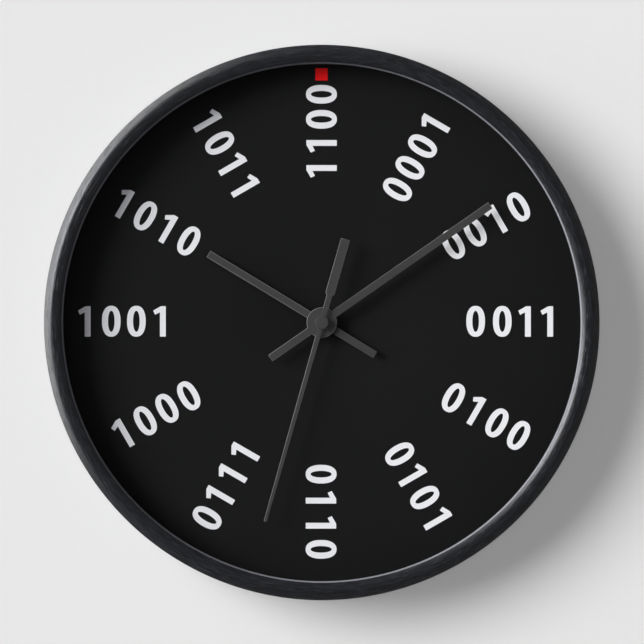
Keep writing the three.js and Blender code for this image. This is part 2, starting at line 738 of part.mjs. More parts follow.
// Fluted knob at the back that sets the hands
function makeKnob() {
  const count = 4 * knob.flutes;
  const rimPoints = [];
  for (let i = 0; i < count; i += 1) {
    const angle = (2 * Math.PI * i) / count;
    const radius = knob.radius - (knob.fluteDepth * (1 - Math.cos(knob.flutes * angle))) / 2;
    rimPoints.push(new THREE.Vector2(radius * Math.cos(angle), radius * Math.sin(angle)));
  }
  const body = solid(slab(new THREE.Shape(rimPoints), knob.back, knob.front))
    .subtract(solid(disc(
      0, 0, arbor.minute + seatGap, knob.back + knob.slot - seatGap, knob.front + past, 10,
    )))
    .subtract(solid(block(
      -knob.slotReach, -knob.slot, knob.slotReach, knob.slot,
      knob.back - past, knob.back + knob.slot - 3 * seatGap,
    )));
  place("setting_knob", surface(body), finish.blackPlastic, minuteAt);
}

// Two-pole stepping motor: stator, core, bobbin and winding
function makeMotor() {
  const [x, z] = rotorAt;
  const half = stator.arm / 2;
  const bar = (left, right, at) => solid(block(left, at - half, right, at + half, stator.back, stator.front));
  const leg = (left, bottom) => solid(block(
    left, bottom, left + stator.arm, core.z + half, stator.back, stator.front,
  ));
  const screwAt = [core.left + coreScrew.inset, core.right - coreScrew.inset];
  const plates = joined(
    solid(disc(x, z, stator.pole, stator.back, stator.front, 24)),
    bar(core.left, x, z + half),
    bar(x, core.right, z),
    leg(core.left, z),
    leg(core.right - stator.arm, z - half),
  )
    .subtract(solid(disc(x, z, stator.hole, stator.back - past, stator.front + past, 20)));
  const drill = (at) => solid(disc(at, core.z, coreScrew.hole, stator.back - past, core.front + past));
  const drilled = (body) => screwAt.reduce((whole, at) => whole.subtract(drill(at)), body);
  place("stator", surface(drilled(plates)), finish.zincSteel);
  const bottom = core.z - core.height / 2;
  const top = core.z + core.height / 2;
  place(
    "coil_core",
    surface(drilled(solid(block(core.left, bottom, core.right, top, core.back, core.front)))),
    finish.zincSteel,
  );
  screwAt.forEach((at, i) => {
    place(`core_screw_${i + 1}`, shaft([
      [coreScrew.headBack, stator.back - seatGap, coreScrew.head],
      [stator.back - seatGap, core.front + coreScrew.grip, coreScrew.shank],
    ], 8), finish.brass, [at, core.z]);
  });

  const depth = (core.back + core.front) / 2;
  const alongCore = (geometry) => {
    geometry.rotateZ(Math.PI / 2);
    geometry.translate(0, -depth, core.z);
    return geometry;
  };
  const { left, right, flangeThickness } = bobbin;
  place("coil_bobbin", alongCore(shaft([
    [left, left + flangeThickness, bobbin.flange],
    [left + flangeThickness, right - flangeThickness, bobbin.tube],
    [right - flangeThickness, right, bobbin.flange],
  ], 16, bobbin.bore)), finish.whitePlastic);
  place("coil_winding", alongCore(washer(
    bobbin.tube + winding.gap, winding.radius,
    left + flangeThickness + winding.gap, right - flangeThickness - winding.gap, 16,
  )), finish.copperWire);
}

// Circuit board with its chip under a blob of epoxy, and the quartz crystal in its can
function makeElectronics() {
  const shape = rectangle(-circuit.halfWidth, circuit.bottom, circuit.halfWidth, circuit.top);
  boardPegs.forEach(([x, z]) => {
    shape.holes.push(new THREE.Path(circle(x, z, stake.radius + play, 8)));
  });
  place("circuit_board", slab(shape, circuit.back, circuit.front), finish.laminate);

  const face = circuit.front + seatGap;
  const dome = [[0, face], [chip.radius, face]];
  const steps = 4;
  for (let i = 1; i <= steps; i += 1) {
    const angle = (Math.PI / 2) * (i / steps);
    dome.push([i < steps ? chip.radius * Math.cos(angle) : 0, face + chip.height * Math.sin(angle)]);
  }
  place("timing_chip", turned(dome, 16), finish.epoxy, [chip.x, chip.z]);

  const can = turned([
    [0, 0],
    [crystal.shoulder, 0],
    [crystal.shoulder, crystal.base],
    [crystal.radius, crystal.base],
    [crystal.radius, crystal.length - play],
    [crystal.shoulder, crystal.length],
    [0, crystal.length],
  ], 10);
  can.rotateZ(Math.PI / 2);
  can.translate(0, -face - crystal.radius, 0);
  place("quartz_crystal", can, finish.zincSteel, [crystal.x, crystal.z]);
}

// Cell and its two leaf contacts, which run up the side walls to the circuit board
function makeCell() {
  const { radius, halfLength, nub, nubLength } = cell;
  const { endBevel, jacketStep, beadFrom, beadWidth, beadDepth } = cellForm;
  const shoulder = halfLength - nubLength;
  const bead = shoulder - beadFrom;
  const body = turned([
    [0, -halfLength],
    [radius - jacketStep, -halfLength],
    [radius, -halfLength + endBevel],
    [radius, bead - beadWidth],
    [radius - beadDepth, bead - beadWidth + beadDepth],
    [radius - beadDepth, bead - beadDepth],
    [radius, bead],
    [radius - endBevel, shoulder],
    [nub, shoulder],
    [nub, halfLength],
    [0, halfLength],
  ], 18);
  body.rotateZ(Math.PI / 2);
  body.translate(0, -cell.depth, cell.z);
  place("battery_cell", body, finish.cellJacket);

  [["negative_contact", -1], ["positive_contact", 1]].forEach(([name, side]) => {
    const line = [
      [contact.x, contact.bottom],
      [contact.x, cell.z - contact.halfBow],
      [contact.reach, cell.z - contact.halfFlat],
      [contact.reach, cell.z + contact.halfFlat],
      [contact.x, cell.z + contact.halfBow],
      [contact.x, contact.tabZ],
      [contact.tabEnd, contact.tabZ],
    ];
    const leaf = ribbon(line.map(([x, z]) => [side * x, z]), contact.thickness);
    place(name, slab(leaf, contact.back, contact.front), finish.brass);
  });
}

// A bar hand with a round centre and square ends
function barHand({ reach, tail, width, disc: radius }, bore) {
  const half = width / 2;
  const bend = Math.asin(half / radius);
  const side = radius * Math.cos(bend);
  const shape = new THREE.Shape();
  shape.moveTo(half, side);
  shape.lineTo(half, reach);
  shape.lineTo(-half, reach);
  shape.lineTo(-half, side);
  shape.absarc(0, 0, radius, Math.PI / 2 + bend, 1.5 * Math.PI - bend);
  shape.lineTo(-half, -tail);
  shape.lineTo(half, -tail);
  shape.lineTo(half, -side);
  shape.absarc(0, 0, radius, -Math.PI / 2 + bend, Math.PI / 2 - bend);
  shape.holes.push(new THREE.Path(circle(0, 0, bore, 16)));
  return shape;
}

// The second hand: a tapered pointer, a narrow neck and a square counterweight
function sweepHand({ reach, width, tipWidth, neckWidth, neck, paddleStart, paddleWidth, tail }, bore) {
  const rightSide = [
    [neckWidth / 2, 0],
    [neckWidth / 2, -neck],
    [paddleWidth / 2, -paddleStart],
    [paddleWidth / 2, -tail],
  ];
  const shape = new THREE.Shape([
    new THREE.Vector2(tipWidth / 2, reach),
    new THREE.Vector2(width / 2, cap.radius),
    ...rightSide.map(([x, y]) => new THREE.Vector2(x, y)),
    ...rightSide.toReversed().map(([x, y]) => new THREE.Vector2(-x, y)),
    new THREE.Vector2(-width / 2, cap.radius),
    new THREE.Vector2(-tipWidth / 2, reach),
  ]);
  shape.holes.push(new THREE.Path(circle(0, 0, bore, 12)));
  return shape;
}

function pointHand(mesh, degrees) {
  mesh.rotation.y = THREE.MathUtils.degToRad(degrees);
}

// The bush that a hand is riveted to, pressed on its tube
function handCollet(name, bore, handHole, { back, thickness }) {
  place(name, shaft([
    [back - colletFlange.height, back - seatGap, handHole + colletFlange.rim],
    [back - seatGap, back + thickness + seatGap, handHole - seatGap],
  ], 16, bore + seatGap), finish.brass);
}

function makeHands() {
  const { hour, minute, second } = hands;
  const hang = (name, shape, { back, thickness, angle }) => pointHand(
    place(name, slab(shape, back, back + thickness, 6), finish.handPaint),
    angle,
  );
  hang("hour_hand", barHand(hour, handBore.hour), hour);
  hang("minute_hand", barHand(minute, handBore.minute), minute);
  hang("second_hand", sweepHand(second, handBore.second), second);
  handCollet("hour_collet", hourTube.tip, handBore.hour, hour);
  handCollet("minute_collet", cannonTube.tip, handBore.minute, minute);

  const faceBack = second.back + second.thickness + seatGap;
  const capBody = solid(turned([
    [0, cap.back],
    [cap.neck, cap.back],
    [cap.neck, faceBack],
    [cap.radius, faceBack],
    [cap.radius, cap.front - cap.edge],
    [cap.radius - cap.edge / 3, cap.front - cap.edge / 3],
    [cap.radius - cap.edge, cap.front],
    [0, cap.front],
  ], 16)).subtract(solid(disc(0, 0, arbor.seconds + seatGap, cap.back - past, cap.front - cap.edge)));
  place("second_hand_cap", surface(capBody), finish.handPaint);
}

makeFrame();
makeFront();
makeClips();
makeHanger();
makeClamp();
makeCase();
makeCover();
makeBridge();
makeTrain();
makeKnob();
makeMotor();
makeElectronics();
makeCell();
makeHands();

export default clock;
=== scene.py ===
"""The looks of a binary wall clock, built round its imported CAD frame.

Shapes are drawn in millimetres from the dial axis, with x right, y away from the viewer and
z up, and are put into the frame at the end. A depth is a distance in front of the wall.
"""
import json
import math
from collections import namedtuple
from types import SimpleNamespace

import bmesh
import bpy
from bpy.props import FloatProperty, FloatVectorProperty, PointerProperty
from mathutils import Matrix, Vector


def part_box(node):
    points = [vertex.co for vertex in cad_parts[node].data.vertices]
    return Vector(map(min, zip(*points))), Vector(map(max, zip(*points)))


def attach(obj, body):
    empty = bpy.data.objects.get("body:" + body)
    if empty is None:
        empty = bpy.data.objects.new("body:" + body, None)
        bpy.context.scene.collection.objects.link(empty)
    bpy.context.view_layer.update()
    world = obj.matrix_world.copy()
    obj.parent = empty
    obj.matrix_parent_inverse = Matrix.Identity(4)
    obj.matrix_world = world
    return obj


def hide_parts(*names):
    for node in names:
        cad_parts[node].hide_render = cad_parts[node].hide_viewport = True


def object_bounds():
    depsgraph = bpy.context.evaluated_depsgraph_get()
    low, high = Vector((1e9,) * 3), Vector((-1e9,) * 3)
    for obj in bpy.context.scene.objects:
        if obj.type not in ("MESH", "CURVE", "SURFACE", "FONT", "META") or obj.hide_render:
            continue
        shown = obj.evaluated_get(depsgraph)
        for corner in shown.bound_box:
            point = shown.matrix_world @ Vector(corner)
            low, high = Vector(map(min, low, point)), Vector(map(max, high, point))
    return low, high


bl_info = {
    "name": "Binary wall clock",
    "version": (1, 0, 0),
    "blender": (4, 5, 0),
    "location": "3D View > Sidebar > Clock",
    "description": "Builds the looks of a binary wall clock round its CAD frame",
    "category": "Add Mesh",
}

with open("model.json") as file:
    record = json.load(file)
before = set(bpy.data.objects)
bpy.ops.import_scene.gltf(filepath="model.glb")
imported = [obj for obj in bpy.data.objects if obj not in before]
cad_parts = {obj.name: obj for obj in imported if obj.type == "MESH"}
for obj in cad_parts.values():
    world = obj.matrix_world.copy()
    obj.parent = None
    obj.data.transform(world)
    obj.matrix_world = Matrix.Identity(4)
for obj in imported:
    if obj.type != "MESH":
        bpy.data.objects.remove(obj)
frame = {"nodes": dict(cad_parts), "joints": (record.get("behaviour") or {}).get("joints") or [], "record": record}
CAD_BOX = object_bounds()

MM = 0.001
BODY_OF = {
    node: body for body, nodes in frame["record"]["behaviour"]["bodies"].items() for node in nodes
}
AXIS = next(j for j in frame["joints"] if j["name"] == "minutes_spin")["pos_m"][2]
INTO_FRAME = Matrix.Translation((0, 0, AXIS)) @ Matrix.Scale(MM, 4)

Extent = namedtuple("Extent", "left right bottom top back front")


def extent(node):
    """A CAD node's box in millimetres, sideways from the dial axis and forward from the wall"""
    low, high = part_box(node)
    return Extent(
        left=low.x / MM, right=high.x / MM,
        bottom=(low.z - AXIS) / MM, top=(high.z - AXIS) / MM,
        back=-high.y / MM, front=-low.y / MM,
    )


def srgb(*codes):
    """Display colour codes from 0 to 255 as a linear colour"""
    shares = [code / 255 for code in codes]
    return tuple(c / 12.92 if c <= 0.04045 else ((c + 0.055) / 1.055) ** 2.4 for c in shares)


# Settings that a user would change


def length(name, description, millimetres):
    """A size, given in millimetres and kept in metres"""
    return FloatProperty(
        name=name, description=description, default=millimetres * MM, min=0.0, precision=5,
        unit="LENGTH",
    )


def colour(name, description, codes):
    """A colour, given as display codes"""
    return FloatVectorProperty(
        name=name, description=description, default=srgb(*codes), min=0.0, max=1.0, size=3,
        subtype="COLOR",
    )


class ClockSizes(bpy.types.PropertyGroup):
    """Sizes of the detail that is added to the CAD frame"""

    outer_bend: length("Outer bend", "Radius of the ring's front outside its crest", 3.4)
    inner_bend: length("Inner bend", "Radius of the ring's front inside its crest", 5.0)
    digit_height: length("Digit height", "Height of a nought", 14.16)
    digit_width: length("Digit width", "Width of a nought", 8.54)
    digit_pitch: length("Digit pitch", "Distance from one digit to the next", 11.49)
    print_thickness: length("Print thickness", "Thickness of the ink on the dial", 0.03)
    mark_side: length("Mark side", "Side of the square at twelve", 5.65)
    mark_radius: length("Mark radius", "Distance of the square from the axis", 113.77)
    hand_edge: length("Hand edge", "Rounding of the stamped edges of the hands", 0.16)
    camera_distance: length("Camera distance", "Distance of the camera from the wall", 5000)
    view_width: length("View width", "Width of the picture at the ring's front", 294.45)


class ClockColours(bpy.types.PropertyGroup):
    """Colours of the finishes"""

    wood: colour("Wood", "Stain of the wooden ring", (15, 16, 20))
    dial: colour("Dial", "Black ground of the dial", (23, 23, 22))
    digits: colour("Digits", "Ink of the binary digits", (232, 231, 229))
    mark: colour("Mark", "Ink of the square at twelve", (250, 19, 20))
    hands: colour("Hands", "Paint of the three hands", (58, 57, 55))
    wall: colour("Wall", "Paint of the wall", (231, 231, 231))


# Sizes of the pieces: radii, thicknesses and heights in millimetres, angles in degrees

# Room between pieces that bear on each other, and the distance at which points are one
FIT = 0.05
TOUCH = 0.001

# The ring's crest is flat over its land, bends outwards over its lean and falls with its slope
RING = SimpleNamespace(
    opening=119.0, rebate=121.3, crest=122.8, land=1.0, lean=30, slope=37, chamfer=1.0,
)
GASKET_WIDTH = 1.6
# The spacer's bore widens to its crown by a bevel at the front
SPACER = SimpleNamespace(inner=118.45, crown=119.2, bevel=0.8)
DIAL_BORE = 4.3

# The middle of a digit's height, and the nought's counter, which is its open inside; its width
# and height are half measures
DIGIT_MIDDLE = 7.0
NOUGHT = SimpleNamespace(
    drop=0.05, squareness=2.3, counter_width=1.51, counter_height=4.82, counter_squareness=2.05,
)
# A one's outline, from the foot of its stem round by the flag, and its room on the left
ONE_INDENT = 0.5
ONE = [(5.76, 0), (5.76, 13.93), (3.53, 13.93), (0, 11.9), (0.84, 10.03), (3.1, 11.12), (3.1, 0)]
# The square's place beside the line of twelve, and its corners
MARK_ASIDE = -0.14
MARK_CORNER = 0.12

# A number is read along its hour's line, outwards or inwards. Its start and shift place its
# first digit along and above that line, as measured in the photo, and its nudges are how far its
# digits stand from an even pitch
Label = namedtuple("Label", "hour digits start shift nudges", defaults=[(0, 0, 0, 0)])
LABELS = [
    Label(12, "1100", 65.89, 0.14),
    Label(1, "0001", 65.89, 0.43),
    Label(2, "0010", 65.83, 0.80),
    Label(3, "0011", 66.25, 0.50, (0, 0.72, 0.32, -0.95)),
    Label(4, "0100", 65.28, 0.27),
    Label(5, "0101", 65.82, 0.73),
    Label(6, "0110", 65.25, -0.35),
    Label(7, "0111", -108.10, 0.73),
    Label(8, "1000", -108.38, 1.40),
    Label(9, "1001", -112.27, 0.55),
    Label(10, "1010", -110.24, 1.89),
    Label(11, "1011", -110.45, 0.55),
]

# Angles are clockwise from twelve; bore is the hole of the hand, and arbor that of its collet
HAND_DISC = 6.9
HAND_TAIL = 28.6
Hand = namedtuple("Hand", "node angle reach width bore arbor")
BAR_HANDS = [
    Hand("hour_hand", 301.2, 60.6, 3.3, 3.15, 2.4),
    Hand("minute_hand", 55.2, 94.0, 3.42, 2.2, 1.55),
]
# The sweep hand's right side, from its tip to the end of its counterweight
SWEEP_SIDE = [(0.65, 94.7), (1.12, 3.2), (1.25, 0), (1.25, -12.8), (2.13, -13.7), (2.13, -39.6)]
SWEEP_ANGLE = 195.9
SWEEP_BORE = 0.85
CAP = SimpleNamespace(radius=3.1, pin=0.8)

# The chamfer is a fall for each millimetre outwards, and the thread the depth of its grooves
NUT = SimpleNamespace(bore=4.0, edge=0.04, over=0.1, chamfer=0.577)
BUSHING = SimpleNamespace(
    crest=3.9, bore=2.7, flange=5.2, flange_back=18.2, flange_front=19.0, pitch=0.75,
    thread=0.42, run_in=0.3, point=0.35,
)
# Slot is half the width of the keyhole's slot, entry the radius of its round end, and spare a
# length of path beyond the strap's ends
HANGER = SimpleNamespace(
    thickness=0.8, width=16.0, corner=4.0, eye=9.0, bore=4.3, spare=1.0, bend_start=30.0,
    bend_end=38.0, bend=1.6, slot=2.5, slot_top=52.0, entry=4.6, entry_height=43.5, edge=0.12,
)
# Rise is a distance behind the clip's front, and foot its length along the board
CLIP_ANGLES = [45, 135, 225, 315]
CLIP = SimpleNamespace(
    width=12.0, thickness=1.2, foot=12.0, rise=11.0, outer=120.7, front=20.55, bend=1.4,
    hole=1.3, edge=0.15,
)
# The screw's head is a dome on a low rim, and its cross and the knob's coin slot have half
# measures
SCREW = SimpleNamespace(
    radius=1.0, length=4.0, point=1.2, tip=0.15, head=2.4, height=1.2, rim=0.12, rise=6.5,
    cross_width=0.28, cross_length=1.35, cross_depth=0.75,
)
KNOB = SimpleNamespace(
    radius=6.0, flutes=16, flute_depth=0.3, edge=0.3, slot_length=3.9, slot_width=0.6,
    slot_depth=0.45, dish=5.0, dish_floor=4.8, dish_depth=0.15,
)

# The cell's flat contact, the groove round it and the rim; its can is a little smaller than its
# sleeve and has a rolled neck, and its collar is a step round the nub
CELL = SimpleNamespace(
    contact=4.6, groove=0.35, groove_inner=4.9, groove_outer=6.0, rim_inner=6.4, rim=6.7,
    can_step=0.12, neck_step=0.3, shoulder=1.2, collar=4.2, collar_height=0.3, collar_inner=3.9,
    nub_foot=2.9, nub=2.7,
)
# The cell's bare ends, negative and positive, and where its dark band begins from the latter
SLEEVE = SimpleNamespace(negative=1.0, positive=3.4, band=9.0)


# Flat outlines, as lists of (x, z)


def arc(x, z, radius, start, end, steps=24):
    """Points of an arc between two angles in degrees, anticlockwise from +x"""
    turns = [math.radians(start + (end - start) * i / steps) for i in range(steps + 1)]
    return [(x + radius * math.cos(t), z + radius * math.sin(t)) for t in turns]


def circle(x, z, radius, steps=64):
    """Points of a circle, without the first one again at the end"""
    return arc(x, z, radius, 0, 360 * (steps - 1) / steps, steps - 1)


def rectangle(x, z, half_width, half_height, *rounding):
    """Corners of a rectangle about its middle, with a corner radius where one is given"""
    return [
        (x + i * half_width, z + j * half_height, *rounding)
        for i, j in [(-1, -1), (1, -1), (1, 1), (-1, 1)]
    ]


def clockwise(points, degrees):
    """Points turned clockwise about the dial axis, as seen from the front"""
    c, s = math.cos(math.radians(degrees)), math.sin(math.radians(degrees))
    return [(x * c + z * s, z * c - x * s) for x, z in points]


def path_length(path):
    """Length along a path of points"""
    return sum(math.dist(a, b) for a, b in zip(path, path[1:]))


def eased(corners, steps=6):
    """An outline of (x, y) or (x, y, radius) corners, with those that have a radius rounded"""
    outline = []
    for i, (x, y, *radius) in enumerate(corners):
        corner = Vector((x, y))
        if not radius:
            outline.append((x, y))
            continue
        before = (Vector(corners[i - 1][:2]) - corner).normalized()
        after = (Vector(corners[(i + 1) % len(corners)][:2]) - corner).normalized()
        half = before.angle(after) / 2
        centre = corner + (before + after).normalized() * (radius[0] / math.sin(half))
        start = corner + before * (radius[0] / math.tan(half)) - centre
        end = corner + after * (radius[0] / math.tan(half)) - centre
        first = math.atan2(start.y, start.x)
        sweep = (math.atan2(end.y, end.x) - first + math.pi) % math.tau - math.pi
        outline += arc(
            *centre, radius[0], math.degrees(first), math.degrees(first + sweep), steps
        )
    return outline


def open_path(corners, steps=8):
    """A line of (x, y) or (x, y, radius) points with its inner corners rounded"""
    (x0, y0), (x1, y1) = corners[0][:2], corners[-1][:2]
    far = (x0 + x1) / 2, (y0 + y1) / 2 + 1000
    loop = eased([*corners, far], steps)
    return loop[:-1]


# Meshes in millimetres


def around(radius, depth, angle):
    """A point at an angle in radians, clockwise from twelve"""
    return (radius * math.sin(angle), -depth, radius * math.cos(angle))


def made(vertices, faces):
    """A clean closed mesh, with doubled points merged and faces turned outwards"""
    mesh = bpy.data.meshes.new("shape")
    mesh.from_pydata(vertices, [], faces)
    work = bmesh.new()
    work.from_mesh(mesh)
    bmesh.ops.remove_doubles(work, verts=work.verts, dist=TOUCH / 2)
    bmesh.ops.recalc_face_normals(work, faces=work.faces)
    work.to_mesh(mesh)
    work.free()
    return mesh


def turned(profile, segments=192):
    """A closed outline of (radius, depth) points turned about the dial axis"""
    count = len(profile)
    angles = [math.tau * i / segments for i in range(segments)]
    vertices = [around(radius, depth, a) for a in angles for radius, depth in profile]
    faces = []
    for i in range(segments):
        here, there = i * count, (i + 1) % segments * count
        for j in range(count):
            k = (j + 1) % count
            if profile[j][0] > 0 or profile[k][0] > 0:
                faces.append((here + j, here + k, there + k, there + j))
    return made(vertices, faces)


def flat_ring(node, inner, edge, steps=6, segments=192):
    """A flat ring that fills a CAD node's box, with a bore and rounded corners"""
    box = extent(node)
    return turned(eased([
        (inner, box.back, edge), (box.right, box.back, edge),
        (box.right, box.front, edge), (inner, box.front, edge),
    ], steps), segments)


def evaluated(obj):
    """The final mesh of a helper object, which is removed"""
    bpy.context.view_layer.update()
    graph = bpy.context.evaluated_depsgraph_get()
    mesh = bpy.data.meshes.new_from_object(obj.evaluated_get(graph))
    bpy.data.objects.remove(obj)
    return mesh


def helper(data):
    """A short-lived object for a curve or a mesh"""
    obj = bpy.data.objects.new("helper", data)
    bpy.context.scene.collection.objects.link(obj)
    return obj


def cut_sheet(outlines, back, front, edge=0.0, steps=2):
    """Flat outlines, the inner ones as holes, as a sheet between two depths with eased edges"""
    curve = bpy.data.curves.new("outline", "CURVE")
    curve.dimensions = "2D"
    curve.fill_mode = "BOTH"
    curve.extrude = (front - back) / 2 - edge
    curve.bevel_depth = edge
    curve.bevel_resolution = steps
    curve.offset = -edge
    for outline in outlines:
        spline = curve.splines.new("POLY")
        spline.points.add(len(outline) - 1)
        for point, (x, y) in zip(spline.points, outline):
            point.co = (x, y, 0, 1)
        spline.use_cyclic_u = True
    mesh = evaluated(helper(curve))
    mesh.transform(
        Matrix.Translation((0, -(back + front) / 2, 0)) @ Matrix.Rotation(math.pi / 2, 4, "X")
    )
    return mesh


def carved(body, tool, operation="DIFFERENCE"):
    """A mesh after an exact Boolean with another"""
    target, cutter = helper(body), helper(tool)
    modifier = target.modifiers.new("cut", "BOOLEAN")
    modifier.operation = operation
    modifier.solver = "EXACT"
    modifier.object = cutter
    mesh = evaluated(target)
    bpy.data.objects.remove(cutter)
    return mesh


def folded(outlines, path, thickness, edge, lay):
    """A flat blank of (across, along) points bent along a path of (a, b) points.

    lay turns across, a and b into x, y and z.
    """
    blank = cut_sheet(outlines, -thickness / 2, thickness / 2, edge)
    stations = [0.0]
    for (a, b), (c, d) in zip(path, path[1:]):
        stations.append(stations[-1] + math.hypot(c - a, d - b))
    work = bmesh.new()
    work.from_mesh(blank)
    for station in stations[1:-1]:
        bmesh.ops.bisect_plane(
            work, geom=work.verts[:] + work.edges[:] + work.faces[:],
            plane_co=(0, 0, station), plane_no=(0, 0, 1), dist=TOUCH / 100,
        )
    ways = [
        (Vector(end) - Vector(start)).normalized() for start, end in zip(path, path[1:])
    ]
    for vertex in work.verts:
        across, out, along = vertex.co.x, -vertex.co.y, vertex.co.z
        leg = max(i for i in range(len(ways)) if i == 0 or stations[i] <= along + TOUCH)
        at = Vector(path[leg]) + ways[leg] * (along - stations[leg])
        way = ways[leg]
        if leg > 0 and abs(along - stations[leg]) < TOUCH:
            way = (ways[leg - 1] + ways[leg]).normalized()
            out /= way.dot(ways[leg])
        vertex.co = lay(across, at.x - way.y * out, at.y + way.x * out)
    bmesh.ops.recalc_face_normals(work, faces=work.faces)
    work.to_mesh(blank)
    work.free()
    return blank


# Shader maths


class Link:
    """A socket that gives a value; arithmetic on it adds Math nodes"""

    def __init__(self, shader, socket):
        self.shader = shader
        self.socket = socket

    def maths(self, operation, *values):
        """The result of a Math node on some values"""
        return self.shader.node("Math", {"operation": operation}, enumerate(values))

    def between(self, low, high, start=0.0, end=1.0):
        """The value's place between two others, from start to end"""
        ends = {"From Min": low, "From Max": high, "To Min": start, "To Max": end}
        return self.shader.node("MapRange", (), {"Value": self, **ends})

    def spread(self, start=0.0, end=1.0):
        """Noise, which seldom leaves 0.3 to 0.7, spread from start to end"""
        return self.between(0.3, 0.7, start, end)

    def __add__(self, other):
        return self.maths("ADD", self, other)

    def __sub__(self, other):
        return self.maths("SUBTRACT", self, other)

    def __rsub__(self, other):
        return self.maths("SUBTRACT", other, self)

    def __mul__(self, other):
        return self.maths("MULTIPLY", self, other)

    def __pow__(self, other):
        return self.maths("POWER", self, other)

    __radd__ = __add__
    __rmul__ = __mul__


class Shader:
    """The nodes of a material or of the world"""

    def __init__(self, tree):
        self.tree = tree
        tree.nodes.clear()

    def node(self, kind, settings=(), inputs=(), output=0):
        """Adds a node, sets it up, fills or links its sockets and gives one of its outputs"""
        node = self.tree.nodes.new("ShaderNode" + kind)
        for name, value in dict(settings).items():
            setattr(node, name, value)
        for name, value in dict(inputs).items():
            if isinstance(value, Link):
                self.tree.links.new(value.socket, node.inputs[name])
            else:
                node.inputs[name].default_value = value
        return Link(self, node.outputs[output] if node.outputs else None)

    def place(self):
        """x, y and z in millimetres from the dial axis"""
        point = self.node("TexCoord", output="Object")
        point = self.node("VectorMath", {"operation": "MULTIPLY_ADD"}, {
            0: point, 1: (1 / MM,) * 3, 2: (0, 0, -AXIS / MM),
        })
        return [self.node("SeparateXYZ", (), {0: point}, output=i) for i in range(3)]

    def scaled_place(self, cells):
        """x, y and z with so many units to a millimetre"""
        return [value * cells for value in self.place()]

    def noise(self, x, y, z, w=0.0, detail=3.0, roughness=0.5):
        """Soft noise from 0 to 1, one cell for each unit of its four coordinates"""
        vector = self.node("CombineXYZ", (), {0: x, 1: y, 2: z})
        return self.node("TexNoise", {"noise_dimensions": "4D"}, {
            "Vector": vector, "W": w, "Scale": 1.0, "Detail": detail, "Roughness": roughness,
        })

    def cloud(self, cells, detail=3.0):
        """Soft noise that is alike in all directions, with so many cells to a millimetre"""
        return self.noise(*self.scaled_place(cells), detail=detail)

    def grains(self, cells):
        """Distance from the middle of scattered grains, so many to a millimetre"""
        vector = self.node("CombineXYZ", (), dict(enumerate(self.scaled_place(cells))))
        return self.node("TexVoronoi", {"feature": "F1"}, {
            "Vector": vector, "Scale": 1.0, "Randomness": 1.0,
        }, output="Distance")

    def mix(self, factor, first, second):
        """A colour between two"""
        pair = [c if isinstance(c, Link) else (*c[:3], 1.0) for c in (first, second)]
        return self.node(
            "Mix", {"data_type": "RGBA"}, {0: factor, 6: pair[0], 7: pair[1]}, output=2
        )

    def bump(self, height, millimetres):
        """A normal for a relief whose height of 1 stands for so many millimetres"""
        return self.node("Bump", (), {
            "Height": height, "Distance": millimetres * MM, "Strength": 1.0,
        })


def scaled(tint, share):
    """A colour made darker or lighter"""
    return tuple(c * share for c in tint)


# Finishes, as the sockets of a surface; s is the material's Shader


def stained_wood(s, colours):
    """Stain with a grain that runs round the ring, and open pores"""
    x, y, z = s.place()
    radius = (x * x + z * z) ** 0.5
    grain = s.noise(x * 0.2, radius * 1.5, z * 0.2, y * 1.5, 5.0, 0.6)
    pores = s.noise(x * 0.2, radius * 1.8, z * 0.2, y * 1.8, 4.0)
    light = grain.between(0.3, 0.75)
    pore = pores.between(0.56, 0.68)
    stain = s.mix(light * light, scaled(colours.wood, 0.25), scaled(colours.wood, 4.0))
    return {
        "Base Color": s.mix(pore * 0.6, stain, scaled(colours.wood, 0.4)),
        "Roughness": light * 0.06 + pore * 0.14 + 0.29,
        "Specular IOR Level": 0.45,
        "Normal": s.bump(light * 0.5 - pore, 0.048),
    }


def clear_acrylic(s, colours):
    """Clear, and a little brighter where it is seen at a slant"""
    haze = s.cloud(0.05)
    return {
        "Base Color": s.mix(haze, (0.012, 0.013, 0.014), (0.02, 0.021, 0.023)),
        "Roughness": haze.between(0.3, 0.8, 0.02, 0.06),
        "Alpha": s.node("LayerWeight", (), {"Blend": 0.5}, output="Facing") ** 5 * 0.5 + 0.02,
        "IOR": 1.49,
    }


def grey_gasket(s, colours):
    """Grey foam with fine cells"""
    cells = s.grains(3.0)
    return {
        "Base Color": s.mix(cells, srgb(88, 91, 99), srgb(122, 125, 134)),
        "Roughness": 0.85,
        "Normal": s.bump(cells, 0.06),
    }


def grey_plastic(s, colours):
    """Light grey plastic, painted near-black as shade everywhere but its front bevel"""
    x, y, z = s.place()
    # Painted shade: all behind the front bevel, the bore wall included, takes the near-black colour
    edge = (-extent("lens_spacer").front + SPACER.bevel + FIT - y).between(0.0, 0.05)
    cloud = s.noise(x * 0.2, y * 0.4, z * 0.2)
    fine = s.cloud(4)
    return {
        "Base Color": s.mix(
            edge, srgb(44, 45, 48), s.mix(cloud, srgb(125, 125, 129), srgb(139, 139, 143))
        ),
        "Roughness": fine.spread(0.4, 0.5),
        "Normal": s.bump(fine, 0.01),
    }


def dial_print(s, colours):
    """Matt black print, a little uneven"""
    x, y, z = s.place()
    paper = s.noise(x * 2.5, y, z * 2.5, detail=4.0)
    cloud = s.noise(x * 0.03, y, z * 0.03)
    tone = paper * 0.5 + cloud * 0.5
    return {
        "Base Color": s.mix(
            tone.between(0.35, 0.65), scaled(colours.dial, 0.93), scaled(colours.dial, 1.07)
        ),
        "Roughness": paper.spread(0.6, 0.72),
        "Specular IOR Level": 0.04,
        "Normal": s.bump(paper, 0.004),
    }


